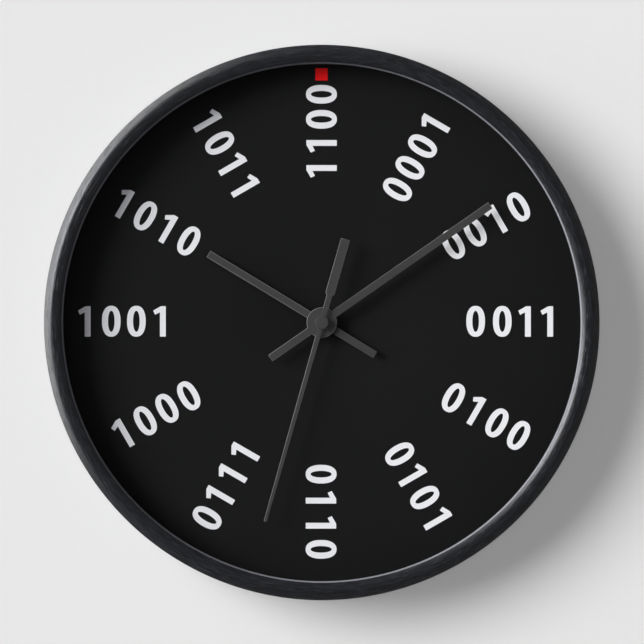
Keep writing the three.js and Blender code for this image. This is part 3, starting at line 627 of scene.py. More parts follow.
def ink(s, tint):
    """Matt ink with a little of the paper's texture"""
    x, y, z = s.place()
    paper = s.noise(x * 2.5, y, z * 2.5, detail=4.0)
    return {
        "Base Color": s.mix(paper.spread(), scaled(tint, 0.96), scaled(tint, 1.02)),
        "Roughness": paper.spread(0.5, 0.62),
        "Specular IOR Level": 0.1,
        "Normal": s.bump(paper, 0.004),
    }


def numeral_print(s, colours):
    """The white ink of the numbers"""
    return ink(s, colours.digits)


def marker_print(s, colours):
    """The red ink of the square"""
    return ink(s, colours.mark)


def fibreboard(s, colours):
    """Pressed fibres that lie both ways, with dark specks"""
    x, y, z = s.place()
    fibres = s.noise(x * 0.5, y, z * 2.2, detail=5.0, roughness=0.65)
    other = s.noise(x * 2.2, y, z * 0.5, detail=5.0, roughness=0.65)
    specks = s.cloud(5.0)
    tone = (fibres + other) * 0.5
    board = s.mix(tone.between(0.35, 0.65), srgb(84, 62, 43), srgb(132, 102, 72))
    return {
        "Base Color": s.mix(specks.between(0.62, 0.75) * 0.6, board, srgb(58, 42, 30)),
        "Roughness": tone.spread(0.72, 0.92),
        "Specular IOR Level": 0.3,
        "Normal": s.bump(tone + specks * 0.5, 0.12),
    }


def zinc_steel(s, colours):
    """Zinc-plated sheet with the marks of its rolling"""
    x, y, z = s.place()
    cloud = s.cloud(0.25, 4.0)
    roll = s.noise(x * 3.0, y * 3.0, z * 0.12)
    return {
        "Base Color": s.mix(cloud.spread(), srgb(172, 175, 180), srgb(205, 205, 200)),
        "Metallic": 1.0,
        "Roughness": cloud.spread(0.26, 0.36) + roll * 0.08,
        "Normal": s.bump(roll, 0.012),
    }


def brass(s, colours):
    """Turned brass with a little tarnish"""
    tarnish = s.cloud(0.4, 4.0)
    turning = s.cloud(6.0)
    return {
        "Base Color": s.mix(tarnish.between(0.3, 0.75), srgb(200, 172, 112), srgb(156, 130, 82)),
        "Metallic": 1.0,
        "Roughness": tarnish.between(0.3, 0.75, 0.38, 0.52),
        "Normal": s.bump(turning, 0.006),
    }


def black_rubber(s, colours):
    """Dull rubber with some dust on it"""
    dust = s.cloud(2.0, 5.0)
    return {
        "Base Color": s.mix(dust.between(0.4, 0.75), srgb(22, 22, 23), srgb(48, 48, 49)),
        "Roughness": dust.spread(0.72, 0.9),
        "Normal": s.bump(dust, 0.03),
    }


def moulded(s, dark, light, gloss):
    """Moulded plastic with the fine grain of a spark-eroded mould"""
    grain = s.grains(4.0)
    cloud = s.cloud(0.12)
    return {
        "Base Color": s.mix(cloud.spread(), dark, light),
        "Roughness": grain.between(0.0, 0.8, gloss, gloss + 0.14),
        "Specular IOR Level": 0.4,
        "Normal": s.bump(grain, 0.03),
    }


def black_plastic(s, colours):
    """The housing, its cover and the knob"""
    return moulded(s, srgb(24, 25, 27), srgb(34, 35, 38), 0.42)


def white_plastic(s, colours):
    """The moulded wheels, the bridge and the bobbin"""
    return moulded(s, srgb(222, 220, 210), srgb(236, 234, 226), 0.36)


def hand_paint(s, colours):
    """Matt paint with a painted highlight on the stamped edges outside the hub"""
    x, y, z = s.place()
    radius = (x * x + z * z) ** 0.5
    orange_peel = s.cloud(3.0)
    cloud = s.noise(x * 0.1, y, z * 0.1)
    paint = s.mix(cloud.spread(), scaled(colours.hands, 0.95), scaled(colours.hands, 1.08))
    # Painted highlight: edges whose normals face sideways, outside the hub, are mixed to a lighter grey
    normal = s.node("NewGeometry", output="Normal")
    forward = s.node("SeparateXYZ", (), {0: normal}, output=1)
    painted_edge_highlight = (1 - s.node("Math", {"operation": "ABSOLUTE"}, {0: forward})).between(0.0, 0.1)
    painted_edge_highlight = painted_edge_highlight * (radius - (HAND_DISC - 0.3)).between(0.0, 0.1)
    return {
        "Base Color": s.mix(painted_edge_highlight, paint, srgb(127, 127, 126)),
        "Roughness": orange_peel.spread(0.48, 0.56),
        "Specular IOR Level": 0.2,
        "Normal": s.bump(orange_peel, 0.006),
    }


def copper_wire(s, colours):
    """Turns of enamelled wire, twelve to a millimetre, with painted shade in the grooves between them"""
    x, y, z = s.place()
    turn = s.node("Math", {"operation": "FRACT"}, {0: x * 12.0})
    groove_and_shade = (turn - 0.5) * (turn - 0.5) * 4.0
    shade = s.cloud(1.5)
    wire = s.mix(shade, srgb(196, 112, 66), srgb(150, 72, 38))
    return {
        # Painted shade: the grooves between turns are darkened; the same mask also roughens and sinks them
        "Base Color": s.mix(groove_and_shade * 0.8, wire, srgb(70, 30, 16)),
        "Metallic": 0.9,
        "Roughness": groove_and_shade.between(0.0, 1.0, 0.28, 0.6),
        "Normal": s.bump(1 - groove_and_shade, 0.06),
    }


def ferrite(s, colours):
    """Pressed magnet powder with bright grains"""
    grit = s.cloud(8.0, 4.0)
    return {
        "Base Color": s.mix(grit, srgb(30, 29, 31), srgb(62, 60, 62)),
        "Roughness": grit.spread(0.45, 0.7),
        "Metallic": grit.between(0.5, 0.7, 0.0, 0.4),
        "Normal": s.bump(grit, 0.02),
    }


def laminate(s, colours):
    """Brown circuit board with its weave"""
    x, y, z = s.place()
    weave = s.noise(x * 1.5, y, z * 6.0, detail=4.0)
    return {
        "Base Color": s.mix(weave.spread(), srgb(122, 78, 38), srgb(158, 108, 58)),
        "Roughness": weave.spread(0.48, 0.62),
        "Normal": s.bump(weave, 0.02),
    }


def epoxy(s, colours):
    """The black drop that covers the chip"""
    swirl = s.cloud(1.2, 4.0)
    return {
        "Base Color": s.mix(swirl, srgb(12, 12, 13), srgb(28, 28, 30)),
        "Roughness": swirl.spread(0.2, 0.42),
        "Normal": s.bump(swirl, 0.04),
    }


def cell_jacket(s, colours):
    """A plain light sleeve with a dark band at the positive end, and bare steel at both ends"""
    x, y, z = s.place()
    cell = extent("battery_cell")
    scuff = s.noise(x * 0.6, y * 3.0, z * 3.0, detail=5.0)
    sleeve = (x - (cell.left + SLEEVE.negative)).between(-0.05, 0.05)
    sleeve = sleeve * ((cell.right - SLEEVE.positive) - x).between(-0.05, 0.05)
    band = (x - (cell.right - SLEEVE.band)).between(-0.05, 0.05)
    sleeve_colour = s.mix(band, srgb(168, 170, 172), srgb(58, 61, 66))
    sleeve_colour = s.mix(scuff.between(0.6, 0.8) * 0.4, sleeve_colour, srgb(120, 120, 122))
    steel = s.mix(scuff, srgb(176, 178, 182), srgb(202, 202, 200))
    return {
        "Base Color": s.mix(sleeve, steel, sleeve_colour),
        "Metallic": 1 - sleeve * 0.75,
        "Roughness": scuff.spread(0.26, 0.4),
        "Normal": s.bump(scuff, 0.01),
    }


# A finish is named as the record's material slot is
FINISHES = {look.__name__: look for look in [
    stained_wood, clear_acrylic, grey_gasket, grey_plastic, dial_print, numeral_print,
    marker_print, fibreboard, zinc_steel, brass, black_rubber, black_plastic, white_plastic,
    hand_paint, copper_wire, ferrite, laminate, epoxy, cell_jacket,
]}


def finish(slot):
    """The material of one of the record's slots, made when a piece first asks for it"""
    name = slot + "_finish"
    material = bpy.data.materials.get(name)
    if material is None:
        material = bpy.data.materials.new(name)
        material.use_nodes = True
        shader = Shader(material.node_tree)
        sockets = FINISHES[slot](shader, bpy.context.scene.clock_colours)
        surface = shader.node("BsdfPrincipled", (), sockets)
        shader.node("OutputMaterial", (), {"Surface": surface})
    return material


# Pieces


def piece(name, mesh, slot, node, stands_for=True, sharp=40):
    """A mesh as a piece that rides with a CAD node's body, and by default stands for the node"""
    mesh.transform(INTO_FRAME)
    mesh.name = name
    mesh.shade_smooth()
    mesh.set_sharp_from_angle(angle=math.radians(sharp))
    mesh.materials.clear()
    mesh.materials.append(finish(slot))
    obj = bpy.data.objects.new(name, mesh)
    bpy.context.scene.collection.objects.link(obj)
    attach(obj, BODY_OF[node])
    if stands_for:
        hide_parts(node)
    return obj


def dress(node, slot, edge):
    """A CAD node's own solid with a finish, and with eased edges if there is an edge width"""
    obj = frame["nodes"][node]
    for holder in obj.material_slots:
        holder.material = finish(slot)
    if edge:
        flat = obj.modifiers.new("flat faces", "DECIMATE")
        flat.decimate_type = "DISSOLVE"
        flat.angle_limit = math.radians(1)
        bevel = obj.modifiers.new("eased edges", "BEVEL")
        bevel.width = edge * MM
        bevel.segments = 2
        bevel.limit_method = "ANGLE"
        bevel.angle_limit = math.radians(35)
        bevel.harden_normals = True


class BuildRing(bpy.types.Operator):
    """Turns the wooden ring with its rounded front and its rebate"""

    bl_idname = "clock.ring"
    bl_label = "Wooden ring"

    def execute(self, context):
        sizes = context.scene.clock_sizes
        outer, inner = sizes.outer_bend / MM, sizes.inner_bend / MM
        ring = extent("frame_ring")
        lip = extent("lens_gasket").front + FIT
        bevel = arc(RING.crest, ring.front - outer, outer, 90 - RING.lean, 90, 16)
        fall = (ring.right - bevel[0][0]) * math.tan(math.radians(RING.slope))
        flat = RING.crest - RING.land
        dip = math.degrees(math.asin((flat - RING.opening) / inner))
        bowl = arc(flat, ring.front - inner, inner, 90, 90 + dip, 20)
        profile = eased([
            (RING.rebate, ring.back + RING.chamfer, 0.3),
            (RING.rebate + RING.chamfer, ring.back, 0.3),
            (ring.right - RING.chamfer, ring.back, 0.5),
            (ring.right, ring.back + RING.chamfer, 0.5),
            (ring.right, bevel[0][1] - fall, 0.5),
            *bevel,
            *bowl[:-1],
            (*bowl[-1], 0.15),
            (RING.opening, lip),
            (RING.rebate, lip),
        ])
        piece("wooden_ring", turned(profile, 256), "stained_wood", "frame_ring")
        return {"FINISHED"}


class BuildLens(bpy.types.Operator):
    """Makes the clear lens and the foam gasket in front of it"""

    bl_idname = "clock.lens"
    bl_label = "Lens and gasket"

    def execute(self, context):
        lens = extent("lens")
        disc = turned(eased([
            (0, lens.back), (lens.right, lens.back, 0.2), (lens.right, lens.front, 0.2),
            (0, lens.front),
        ]))
        piece("clear_lens", disc, "clear_acrylic", "lens")
        foam = flat_ring("lens_gasket", extent("lens_gasket").right - GASKET_WIDTH, 0.1)
        piece("foam_gasket", foam, "grey_gasket", "lens_gasket")
        return {"FINISHED"}


class BuildSpacer(bpy.types.Operator):
    """Makes the plastic spacer between dial and lens"""

    bl_idname = "clock.spacer"
    bl_label = "Spacer"

    def execute(self, context):
        box = extent("lens_spacer")
        profile = eased([
            (SPACER.inner, box.back, 0.1), (box.right, box.back, 0.15),
            (box.right, box.front, 0.15), (SPACER.crown, box.front),
            (SPACER.inner, box.front - SPACER.bevel),
        ])
        piece("spacer_ring", turned(profile, 256), "grey_plastic", "lens_spacer")
        return {"FINISHED"}


class BuildDial(bpy.types.Operator):
    """Makes the printed dial and the fibreboard behind it"""

    bl_idname = "clock.dial"
    bl_label = "Dial and board"

    def execute(self, context):
        for name, node, slot, edge in [
            ("dial_face", "dial_sheet", "dial_print", 0.05),
            ("backing_board", "dial_board", "fibreboard", 0.3),
        ]:
            piece(name, flat_ring(node, DIAL_BORE, edge, 3), slot, node)
        return {"FINISHED"}


def oval(x, z, half_width, half_height, squareness, steps=72):
    """An oval about its middle; a squareness of 2 is an ellipse, and more fills its corners"""
    points = []
    for i in range(steps):
        c, s = math.cos(math.tau * i / steps), math.sin(math.tau * i / steps)
        points.append((
            x + half_width * math.copysign(abs(c) ** (2 / squareness), c),
            z + half_height * math.copysign(abs(s) ** (2 / squareness), s),
        ))
    return points


def nought(left, bottom, width, height):
    """A tall oval with an oval counter"""
    x, z = left + width / 2, bottom - NOUGHT.drop + height / 2
    return [
        oval(x, z, width / 2, height / 2, NOUGHT.squareness),
        oval(x, z, NOUGHT.counter_width, NOUGHT.counter_height, NOUGHT.counter_squareness),
    ]


def one(left, bottom):
    """A stem with a flag"""
    return [[(left + ONE_INDENT + x, bottom + z) for x, z in ONE]]


def printed(name, outlines, slot, sizes):
    """A thin layer of ink on the dial"""
    face = extent("dial_sheet").front
    ink_layer = cut_sheet(outlines, face, face + sizes.print_thickness / MM)
    return piece(name, ink_layer, slot, "dial_sheet", stands_for=False)


class BuildNumerals(bpy.types.Operator):
    """Prints the twelve four-digit binary numbers on the dial"""

    bl_idname = "clock.numerals"
    bl_label = "Binary numerals"

    def execute(self, context):
        sizes = context.scene.clock_sizes
        width, height = sizes.digit_width / MM, sizes.digit_height / MM
        for label in LABELS:
            outlines = []
            bottom = label.shift - DIGIT_MIDDLE
            for i, digit in enumerate(label.digits):
                left = label.start + i * sizes.digit_pitch / MM + label.nudges[i]
                if digit == "0":
                    outlines += nought(left, bottom, width, height)
                else:
                    outlines += one(left, bottom)
            # The numbers from twelve to six read outwards, and the others inwards
            outward = label.hour == 12 or label.hour < 7
            turn = 30 * label.hour - 90 if outward else 30 * label.hour + 90
            outlines = [clockwise(points, turn) for points in outlines]
            printed(f"numeral_{label.hour:02d}", outlines, "numeral_print", sizes)
        return {"FINISHED"}


class BuildMark(bpy.types.Operator):
    """Prints the red square at twelve"""

    bl_idname = "clock.mark"
    bl_label = "Twelve mark"

    def execute(self, context):
        sizes = context.scene.clock_sizes
        half, middle = sizes.mark_side / MM / 2, sizes.mark_radius / MM
        square = eased(rectangle(MARK_ASIDE, middle, half, half, MARK_CORNER), 3)
        printed("twelve_mark", [square], "marker_print", sizes)
        return {"FINISHED"}


def bar_hand(hand):
    """A bar with square ends and a round centre"""
    half = hand.width / 2
    bend = math.degrees(math.asin(half / HAND_DISC))
    outline = [(half, hand.reach), (-half, hand.reach)]
    outline += arc(0, 0, HAND_DISC, 90 + bend, 270 - bend, 40)
    outline += [(-half, -HAND_TAIL), (half, -HAND_TAIL)]
    outline += arc(0, 0, HAND_DISC, bend - 90, 90 - bend, 40)
    return [outline, circle(0, 0, hand.bore)]


def sweep_hand():
    """A tapered pointer, a narrow neck and a square counterweight"""
    left_side = [(-x, z) for x, z in reversed(SWEEP_SIDE)]
    return [SWEEP_SIDE + left_side, circle(0, 0, SWEEP_BORE, 32)]


class BuildHands(bpy.types.Operator):
    """Stamps the three hands with eased edges"""

    bl_idname = "clock.hands"
    bl_label = "Hands"

    def execute(self, context):
        edge = context.scene.clock_sizes.hand_edge / MM
        stamped = [(hand.node, bar_hand(hand), hand.angle) for hand in BAR_HANDS]
        stamped.append(("second_hand", sweep_hand(), SWEEP_ANGLE))
        for node, outlines, angle in stamped:
            box = extent(node)
            turned_outlines = [clockwise(points, angle) for points in outlines]
            mesh = cut_sheet(turned_outlines, box.back, box.front, edge)
            piece("painted_" + node, mesh, "hand_paint", node, sharp=60)
        return {"FINISHED"}


class BuildCap(bpy.types.Operator):
    """Turns the second hand's cap and the bushes that carry the other hands"""

    bl_idname = "clock.cap"
    bl_label = "Cap and collets"

    def execute(self, context):
        box = extent("second_hand_cap")
        rim = extent("second_hand").front + FIT
        profile = eased([
            (0, box.back), (CAP.pin, box.back, 0.1), (CAP.pin, rim), (CAP.radius, rim, 0.1),
            (CAP.radius, box.front, 0.25), (0, box.front),
        ], 10)
        piece("hand_cap", turned(profile, 96), "hand_paint", "second_hand_cap")
        for hand in BAR_HANDS:
            node = hand.node.replace("hand", "collet")
            box = extent(node)
            step = extent(hand.node).back - FIT
            neck = hand.bore - FIT
            profile = eased([
                (hand.arbor, box.back, 0.05), (box.right, box.back, 0.15), (box.right, step, 0.1),
                (neck, step), (neck, box.front, 0.08), (hand.arbor, box.front, 0.08),
            ], 3)
            piece("turned_" + node, turned(profile, 96), "brass", node)
        return {"FINISHED"}


class BuildClamp(bpy.types.Operator):
    """Makes the washers, the nut and the threaded bushing that clamp the movement"""

    bl_idname = "clock.clamp"
    bl_label = "Washers, nut and bushing"

    def execute(self, context):
        for name, node, slot, bore, edge in [
            ("soft_washer", "rubber_washer", "black_rubber", 4.1, 0.2),
            ("plain_washer", "brass_washer", "brass", 4.0, 0.12),
        ]:
            piece(name, flat_ring(node, bore, edge, 4, 128), slot, node)
        piece("clamp_nut", chamfered_nut(), "brass", "hex_nut", sharp=25)
        piece("screwed_bushing", threaded_tube(), "brass", "threaded_bushing", sharp=50)
        return {"FINISHED"}


def chamfered_nut():
    """A hexagon whose corners are turned off on both faces"""
    box = extent("hex_nut")
    corner = box.right
    flat = corner * math.cos(math.pi / 6)
    hexagon = cut_sheet(
        [circle(0, 0, corner, 6), circle(0, 0, NUT.bore)], box.back, box.front, NUT.edge
    )
    over = NUT.over
    drop = (corner + over - flat) * NUT.chamfer
    blank = turned([
        (0, box.back - over), (flat, box.back - over), (flat, box.back),
        (corner + over, box.back + drop), (corner + over, box.front - drop), (flat, box.front),
        (flat, box.front + over), (0, box.front + over),
    ], 96)
    return carved(hexagon, blank, "INTERSECT")


def threaded_tube():
    """The bushing: a flange in the housing and a tube with a real thread in front of it"""
    box = extent("threaded_bushing")
    steps, rows_a_turn = 64, 8
    angles = [math.tau * i / steps for i in range(steps)]
    crest, bore, flange = BUSHING.crest, BUSHING.bore, BUSHING.flange
    low, seat = BUSHING.flange_back, BUSHING.flange_front
    start, end = seat + BUSHING.run_in, box.front - BUSHING.point
    rows = round((end - start) / BUSHING.pitch * rows_a_turn)
    vertices = []
    for row in range(rows + 1):
        depth = start + (end - start) * row / rows
        fade = min(1, row / rows_a_turn, (rows - row) / rows_a_turn)
        for i, angle in enumerate(angles):
            phase = (depth / BUSHING.pitch - i / steps) % 1
            groove = BUSHING.thread * fade * (1 - abs(2 * phase - 1))
            vertices.append(around(crest - groove, depth, angle))
    plain = [
        (seat, crest), (seat, flange), (low, flange), (low, crest), (box.back, crest),
        (box.back, bore), (box.front, bore), (box.front, crest - BUSHING.point),
    ]
    for depth, radius in plain:
        vertices += [around(radius, depth, angle) for angle in angles]
    # Each ring joins the next; the plain ones run from the thread's start round to its end
    thread = [row * steps for row in range(rows + 1)]
    loops = [0, *[(rows + 1 + i) * steps for i in range(len(plain))], rows * steps]
    faces = [
        (a + i, a + (i + 1) % steps, b + (i + 1) % steps, b + i)
        for a, b in [*zip(thread, thread[1:]), *zip(loops, loops[1:])] for i in range(steps)
    ]
    return made(vertices, faces)


class BuildHanger(bpy.types.Operator):
    """Stamps and bends the steel hanger with its keyhole slot"""

    bl_idname = "clock.hanger"
    bl_label = "Hanger"

    def execute(self, context):
        box = extent("hanger")
        front = box.front - HANGER.thickness / 2
        back = box.back + HANGER.thickness / 2
        start, end = -HANGER.eye - HANGER.spare, box.top + HANGER.spare
        path = open_path([
            (start, front), (HANGER.bend_start, front, HANGER.bend),
            (HANGER.bend_end, back, HANGER.bend), (end, back),
        ])
        outlines = hanger_blank(box.top, path_length(path) - (end - start))
        outlines = [[(x, z - start) for x, z in points] for points in outlines]
        mesh = folded(
            outlines, [(depth, z) for z, depth in path], HANGER.thickness, HANGER.edge,
            lambda across, depth, z: (across, -depth, z),
        )
        piece("bent_hanger", mesh, "zinc_steel", "hanger", sharp=35)
        return {"FINISHED"}


def hanger_blank(top, slack):
    """The flat strap with its eye, keyhole and bore; slack is what its bends take up"""
    half, corner, high = HANGER.width / 2, HANGER.corner, top + slack
    spread = math.degrees(math.acos(half / HANGER.eye))
    outline = [(half, high - corner)]
    outline += arc(half - corner, high - corner, corner, 0, 90, 10)
    outline += arc(corner - half, high - corner, corner, 90, 180, 10)
    outline += arc(0, 0, HANGER.eye, 180 - spread, 360 + spread, 48)
    opened = math.degrees(math.acos(HANGER.slot / HANGER.entry))
    keyhole = arc(0, HANGER.slot_top + slack - HANGER.slot, HANGER.slot, 0, 180, 16)
    keyhole += arc(
        0, HANGER.entry_height + slack, HANGER.entry, 180 - opened, 360 + opened, 40
    )
    return [outline, keyhole, circle(0, 0, HANGER.bore)]


class BuildClips(bpy.types.Operator):
    """Bends the four clips behind the board and drives their screws into the ring"""

    bl_idname = "clock.clips"
    bl_label = "Clips and screws"

    def execute(self, context):
        middle = CLIP.thickness / 2
        path = open_path([
            (CLIP.outer - CLIP.foot, CLIP.front - middle),
            (CLIP.outer - middle, CLIP.front - middle, CLIP.bend),
            (CLIP.outer - middle, CLIP.front - CLIP.rise),
        ])
        reach = path_length(path)
        half = CLIP.width / 2
        blank = eased([(-half, 0, 1.5), (half, 0, 1.5), (half, reach, 2.5), (-half, reach, 2.5)])
        hole = circle(0, reach - (CLIP.rise - SCREW.rise), CLIP.hole, 32)
        for i, angle in enumerate(CLIP_ANGLES, 1):
            aside = Matrix.Rotation(math.radians(angle), 4, "Y")
            mesh = folded(
                [blank, hole], path, CLIP.thickness, CLIP.edge,
                lambda across, z, depth: (across, -depth, z),
            )
            mesh.transform(aside)
            piece(f"bent_clip_{i}", mesh, "zinc_steel", f"retaining_clip_{i}", sharp=35)
            screw = wood_screw()
            screw.transform(aside)
            piece(f"wood_screw_{i}", screw, "zinc_steel", f"clip_screw_{i}", sharp=35)
        return {"FINISHED"}


def wood_screw():
    """A domed screw with a cross recess, pointing up from the axis"""
    seat = CLIP.outer - CLIP.thickness - FIT
    top = seat - SCREW.height
    tip = CLIP.outer + SCREW.length
    profile = [(0, top)]
    for degrees in (20, 32, 42, 52, 62, 72, 80, 86):
        t = math.radians(degrees)
        profile.append((SCREW.head * math.sin(t), seat - SCREW.height * math.cos(t) ** 0.9))
    profile += [(SCREW.head, seat - SCREW.rim), (SCREW.head, seat), (SCREW.radius, seat)]
    profile += [(SCREW.radius, tip - SCREW.point), (SCREW.tip, tip), (0, tip)]
    body = turned(profile, 48)
    width, length = SCREW.cross_width, SCREW.cross_length
    for arm in rectangle(0, 0, width, length), rectangle(0, 0, length, width):
        body = carved(body, cut_sheet([arm], top - 0.3, top + SCREW.cross_depth, 0.02))
    body.transform(Matrix.Rotation(-math.pi / 2, 4, "X"))
    body.transform(Matrix.Translation((0, -(CLIP.front - SCREW.rise), 0)))
    return body


class BuildKnob(bpy.types.Operator):
    """Moulds the fluted setting knob with its coin slot"""

    bl_idname = "clock.knob"
    bl_label = "Setting knob"

    def execute(self, context):
        box = extent("setting_knob")
        x = (box.left + box.right) / 2
        z = (box.bottom + box.top) / 2
        count = 256
        rim = []
        for i in range(count):
            angle = math.tau * i / count
            flute = (1 - math.cos(KNOB.flutes * angle)) / 2
            radius = KNOB.radius - KNOB.flute_depth * flute
            rim.append((x + radius * math.cos(angle), z + radius * math.sin(angle)))
        knob = cut_sheet([rim], box.back, box.front, KNOB.edge, 3)
        slot = eased(rectangle(x, z, KNOB.slot_length, KNOB.slot_width, 0.3))
        knob = carved(knob, cut_sheet([slot], box.back - 1, box.back + KNOB.slot_depth))
        floor = box.back + KNOB.dish_depth
        dish = turned([
            (0, box.back - 0.5), (KNOB.dish, box.back - 0.5), (KNOB.dish_floor, floor), (0, floor),
        ], 96)
        dish.transform(Matrix.Translation((x, 0, z)))
        piece("fluted_knob", carved(knob, dish), "black_plastic", "setting_knob", sharp=30)
        return {"FINISHED"}


class BuildCell(bpy.types.Operator):
    """Makes the plain AA cell"""

    bl_idname = "clock.cell"
    bl_label = "Cell"

    def execute(self, context):
        box = extent("battery_cell")
        sleeve = (box.top - box.bottom) / 2
        can, neck = sleeve - CELL.can_step, sleeve - CELL.neck_step
        groove, bare = box.left + CELL.groove, box.left + SLEEVE.negative
        shoulder = box.right - CELL.shoulder
        ledge = shoulder - CELL.collar_height
        negative_end = [
            (0, box.left), (CELL.contact, box.left, 0.3), (CELL.groove_inner, groove, 0.2),
            (CELL.groove_outer, groove, 0.2), (CELL.rim_inner, box.left, 0.2),
            (CELL.rim, box.left, 0.3), (can, bare, 0.1), (sleeve, bare, 0.08),
        ]
        rolled_neck = [
            (sleeve, shoulder - 2.2, 0.1), (neck, shoulder - 1.9, 0.2),
            (neck, shoulder - 1.2, 0.2), (can, shoulder - 0.9, 0.2), (can, shoulder - 0.1, 0.4),
        ]
        positive_end = [
            (CELL.collar, shoulder, 0.3), (CELL.collar_inner, ledge, 0.2),
            (CELL.nub_foot, ledge, 0.2), (CELL.nub, box.right, 0.35), (0, box.right),
        ]
        body = turned(eased(negative_end + rolled_neck + positive_end, 5), 128)
        quarter_turn = Matrix(((0, -1, 0, 0), (1, 0, 0, 0), (0, 0, 1, 0), (0, 0, 0, 1)))
        body.transform(quarter_turn)
        body.transform(Matrix.Translation(
            (0, -(box.back + box.front) / 2, (box.bottom + box.top) / 2)
        ))
        piece("plain_cell", body, "cell_jacket", "battery_cell", sharp=35)
        return {"FINISHED"}


# The nodes that keep the CAD's own solids, by slot, and the edge width of those that show
OWN_SOLIDS = {
    "black_plastic": ["movement_case", "movement_cover"],
    "white_plastic": [
        "train_bridge", "rotor_pinion", "intermediate_wheel", "seconds_wheel", "third_wheel",
        "minute_wheel", "hour_wheel", "coil_bobbin",
    ],
    "brass": [
        "negative_contact", "positive_contact", "centre_wheel", "cannon_pinion", "core_screw_1",
        "core_screw_2",
    ],
    "zinc_steel": ["seconds_arbor", "friction_spring", "stator", "coil_core", "quartz_crystal"],
    "ferrite": ["rotor_magnet"],
    "copper_wire": ["coil_winding"],
    "laminate": ["circuit_board"],
    "epoxy": ["timing_chip"],
}
EASING = {
    "movement_case": 0.2, "movement_cover": 0.15, "negative_contact": 0.08,
    "positive_contact": 0.08,
}


class BuildMovement(bpy.types.Operator):
    """Finishes the housing, the contacts, the wheels, the motor and the circuit"""

    bl_idname = "clock.movement"
    bl_label = "Movement"

    def execute(self, context):
        for slot, nodes in OWN_SOLIDS.items():
            for node in nodes:
                dress(node, slot, EASING.get(node, 0.0))
        return {"FINISHED"}


# Stage

# A lamp's around is clockwise from twelve and its slant away from the line of sight, in degrees
# as the spread is; glossy lamps show in the gloss, and each lights the clock or the wall alone
Lamp = namedtuple("Lamp", "name around slant spread strength tint glossy lights")
WHITE = (1.0, 1.0, 1.0)
COOL = (0.97, 0.985, 1.04)
SKY = (0.96, 0.99, 1.12)
LAMPS = [
    Lamp("key_lamp", 290, 53, 30, 3.6, COOL, True, "clock"),
    Lamp("upper_side_lamp", 312, 87, 46, 3.5, WHITE, True, "clock"),
    Lamp("lower_side_lamp", 266, 87, 46, 3.7, WHITE, True, "clock"),
    Lamp("rear_side_lamp", 290, 125, 60, 4.6, WHITE, True, "clock"),
    Lamp("front_fill", 0, 0, 100, 0.55, SKY, False, "clock"),
    Lamp("wall_key", 290, 44, 34, 2.15, WHITE, False, "wall"),
    Lamp("wall_soft_key", 290, 61, 62, 1.01, WHITE, False, "wall"),
    Lamp("wall_fill", 0, 0, 6, 0.87, WHITE, False, "wall"),
]
# The world's own light, and how much of its pale background is seen in the gloss
FILL = (0.08, 0.08, 0.08)
GLOSS_SHARE = 0.25

# The wall in metres: its hole behind the clock, its edge and its gap to the ring
WALL_HOLE = 0.124
WALL_REACH = 4.0
WALL_GAP = 0.0005

# The picture's width is measured at the ring's widest line, this far behind its crest, and the
# camera looks this far to the right of the dial axis and above it
WIDEST_LINE = 0.003
AIM = (0.00009, 0.00023)


class BuildStage(bpy.types.Operator):
    """Sets up the wall, the light and the camera"""

    bl_idname = "clock.stage"
    bl_label = "Stage"

    def execute(self, context):
        scene = context.scene
        wall_colour = scene.clock_colours.wall
        wall = painted_wall(wall_colour)
        for spec in LAMPS:
            hang_lamp(spec, wall)
        scene.world = studio_air(wall_colour)
        scene.camera = front_camera(scene.clock_sizes)
        scene.view_settings.view_transform = "Standard"
        return {"FINISHED"}


def painted_wall(paint):
    """A wall with a hole behind the clock, which is clear when it is seen from behind"""
    steps = 128
    vertices, faces = [], []
    for radius in (WALL_HOLE, WALL_REACH):
        for i in range(steps):
            angle = math.tau * i / steps
            vertices.append((radius * math.sin(angle), WALL_GAP, AXIS + radius * math.cos(angle)))
    for i in range(steps):
        j = (i + 1) % steps
        faces.append((i, j, j + steps, i + steps))
    mesh = bpy.data.meshes.new("wall")
    mesh.from_pydata(vertices, [], faces)
    if mesh.polygons[0].normal.y > 0:
        mesh.flip_normals()
    material = bpy.data.materials.new("wall_paint")
    material.use_nodes = True
    s = Shader(material.node_tree)
    roller = s.cloud(0.3, 4.0)
    tone = s.mix(roller.spread(), scaled(paint, 0.995), scaled(paint, 1.005))
    matt = s.node("BsdfDiffuse", (), {"Color": tone, "Normal": s.bump(roller, 0.02)})
    behind = s.node("NewGeometry", output="Backfacing")
    clear = s.node("BsdfTransparent")
    surface = s.node("MixShader", (), {0: behind, 1: matt, 2: clear})
    s.node("OutputMaterial", (), {"Surface": surface})
    mesh.materials.append(material)
    wall = bpy.data.objects.new("wall", mesh)
    bpy.context.scene.collection.objects.link(wall)
    wall.visible_shadow = False
    return wall


def hang_lamp(spec, wall):
    """A far lamp that lights the wall alone, or all but the wall"""
    light = bpy.data.lights.new(spec.name, "SUN")
    light.energy = spec.strength
    light.color = spec.tint
    light.angle = math.radians(spec.spread)
    lamp = bpy.data.objects.new(spec.name, light)
    bpy.context.scene.collection.objects.link(lamp)
    slant = math.radians(spec.slant)
    towards = around(math.sin(slant), math.cos(slant), math.radians(spec.around))
    lamp.rotation_euler = Vector(towards).to_track_quat("Z", "Y").to_euler()
    lamp.visible_glossy = spec.glossy
    linked = bpy.data.collections.new(spec.name + "_lights")
    linked.objects.link(wall)
    if spec.lights == "clock":
        linked.collection_objects[0].light_linking.link_state = "EXCLUDE"
    lamp.light_linking.receiver_collection = linked


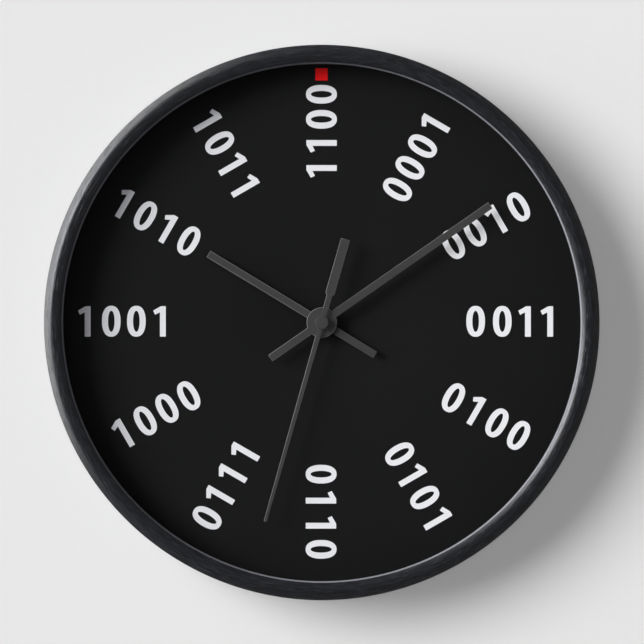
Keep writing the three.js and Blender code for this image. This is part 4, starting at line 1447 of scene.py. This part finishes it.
def studio_air(background):
    """A dim world that shows the pale background to the camera, in glass and in gloss"""
    world = bpy.data.worlds.new("studio")
    world.use_nodes = True
    s = Shader(world.node_tree)
    camera, gloss, glass = [
        s.node("LightPath", output=kind)
        for kind in ("Is Camera Ray", "Is Glossy Ray", "Is Transmission Ray")
    ]
    shown = (camera + gloss * GLOSS_SHARE + glass).between(0, 1)
    air = s.node("Background", (), {"Color": s.mix(shown, FILL, background), "Strength": 1.0})
    s.node("OutputWorld", (), {"Surface": air})
    return world


def front_camera(sizes):
    """A camera far in front of the dial, like the photograph's"""
    lens = bpy.data.cameras.new("camera")
    lens.sensor_width = 36
    distance = sizes.camera_distance + CAD_BOX[0].y + WIDEST_LINE
    lens.lens = lens.sensor_width * distance / sizes.view_width
    lens.clip_end = 100
    camera = bpy.data.objects.new("camera", lens)
    camera.location = (AIM[0], -sizes.camera_distance, AXIS + AIM[1])
    camera.rotation_euler = (math.pi / 2, 0, 0)
    bpy.context.scene.collection.objects.link(camera)
    return camera


STEPS = [
    BuildRing, BuildLens, BuildSpacer, BuildDial, BuildNumerals, BuildMark, BuildHands, BuildCap,
    BuildClamp, BuildHanger, BuildClips, BuildKnob, BuildCell, BuildMovement, BuildStage,
]


class ClockPanel(bpy.types.Panel):
    """Lists the steps and the settings of the clock"""

    bl_idname = "VIEW3D_PT_clock"
    bl_label = "Binary wall clock"
    bl_space_type = "VIEW_3D"
    bl_region_type = "UI"
    bl_category = "Clock"

    def draw(self, context):
        for step in STEPS:
            self.layout.operator(step.bl_idname)
        for group in (context.scene.clock_sizes, context.scene.clock_colours):
            for name in group.__annotations__:
                self.layout.prop(group, name)


CLASSES = [ClockSizes, ClockColours, *STEPS, ClockPanel]


def register():
    for kind in CLASSES:
        bpy.utils.register_class(kind)
    bpy.types.Scene.clock_sizes = PointerProperty(type=ClockSizes)
    bpy.types.Scene.clock_colours = PointerProperty(type=ClockColours)


def unregister():
    del bpy.types.Scene.clock_sizes
    del bpy.types.Scene.clock_colours
    for kind in reversed(CLASSES):
        bpy.utils.unregister_class(kind)


def main():
    register()
    for step in STEPS:
        group, name = step.bl_idname.split(".")
        getattr(getattr(bpy.ops, group), name)()


if __name__ == "__main__":
    main()
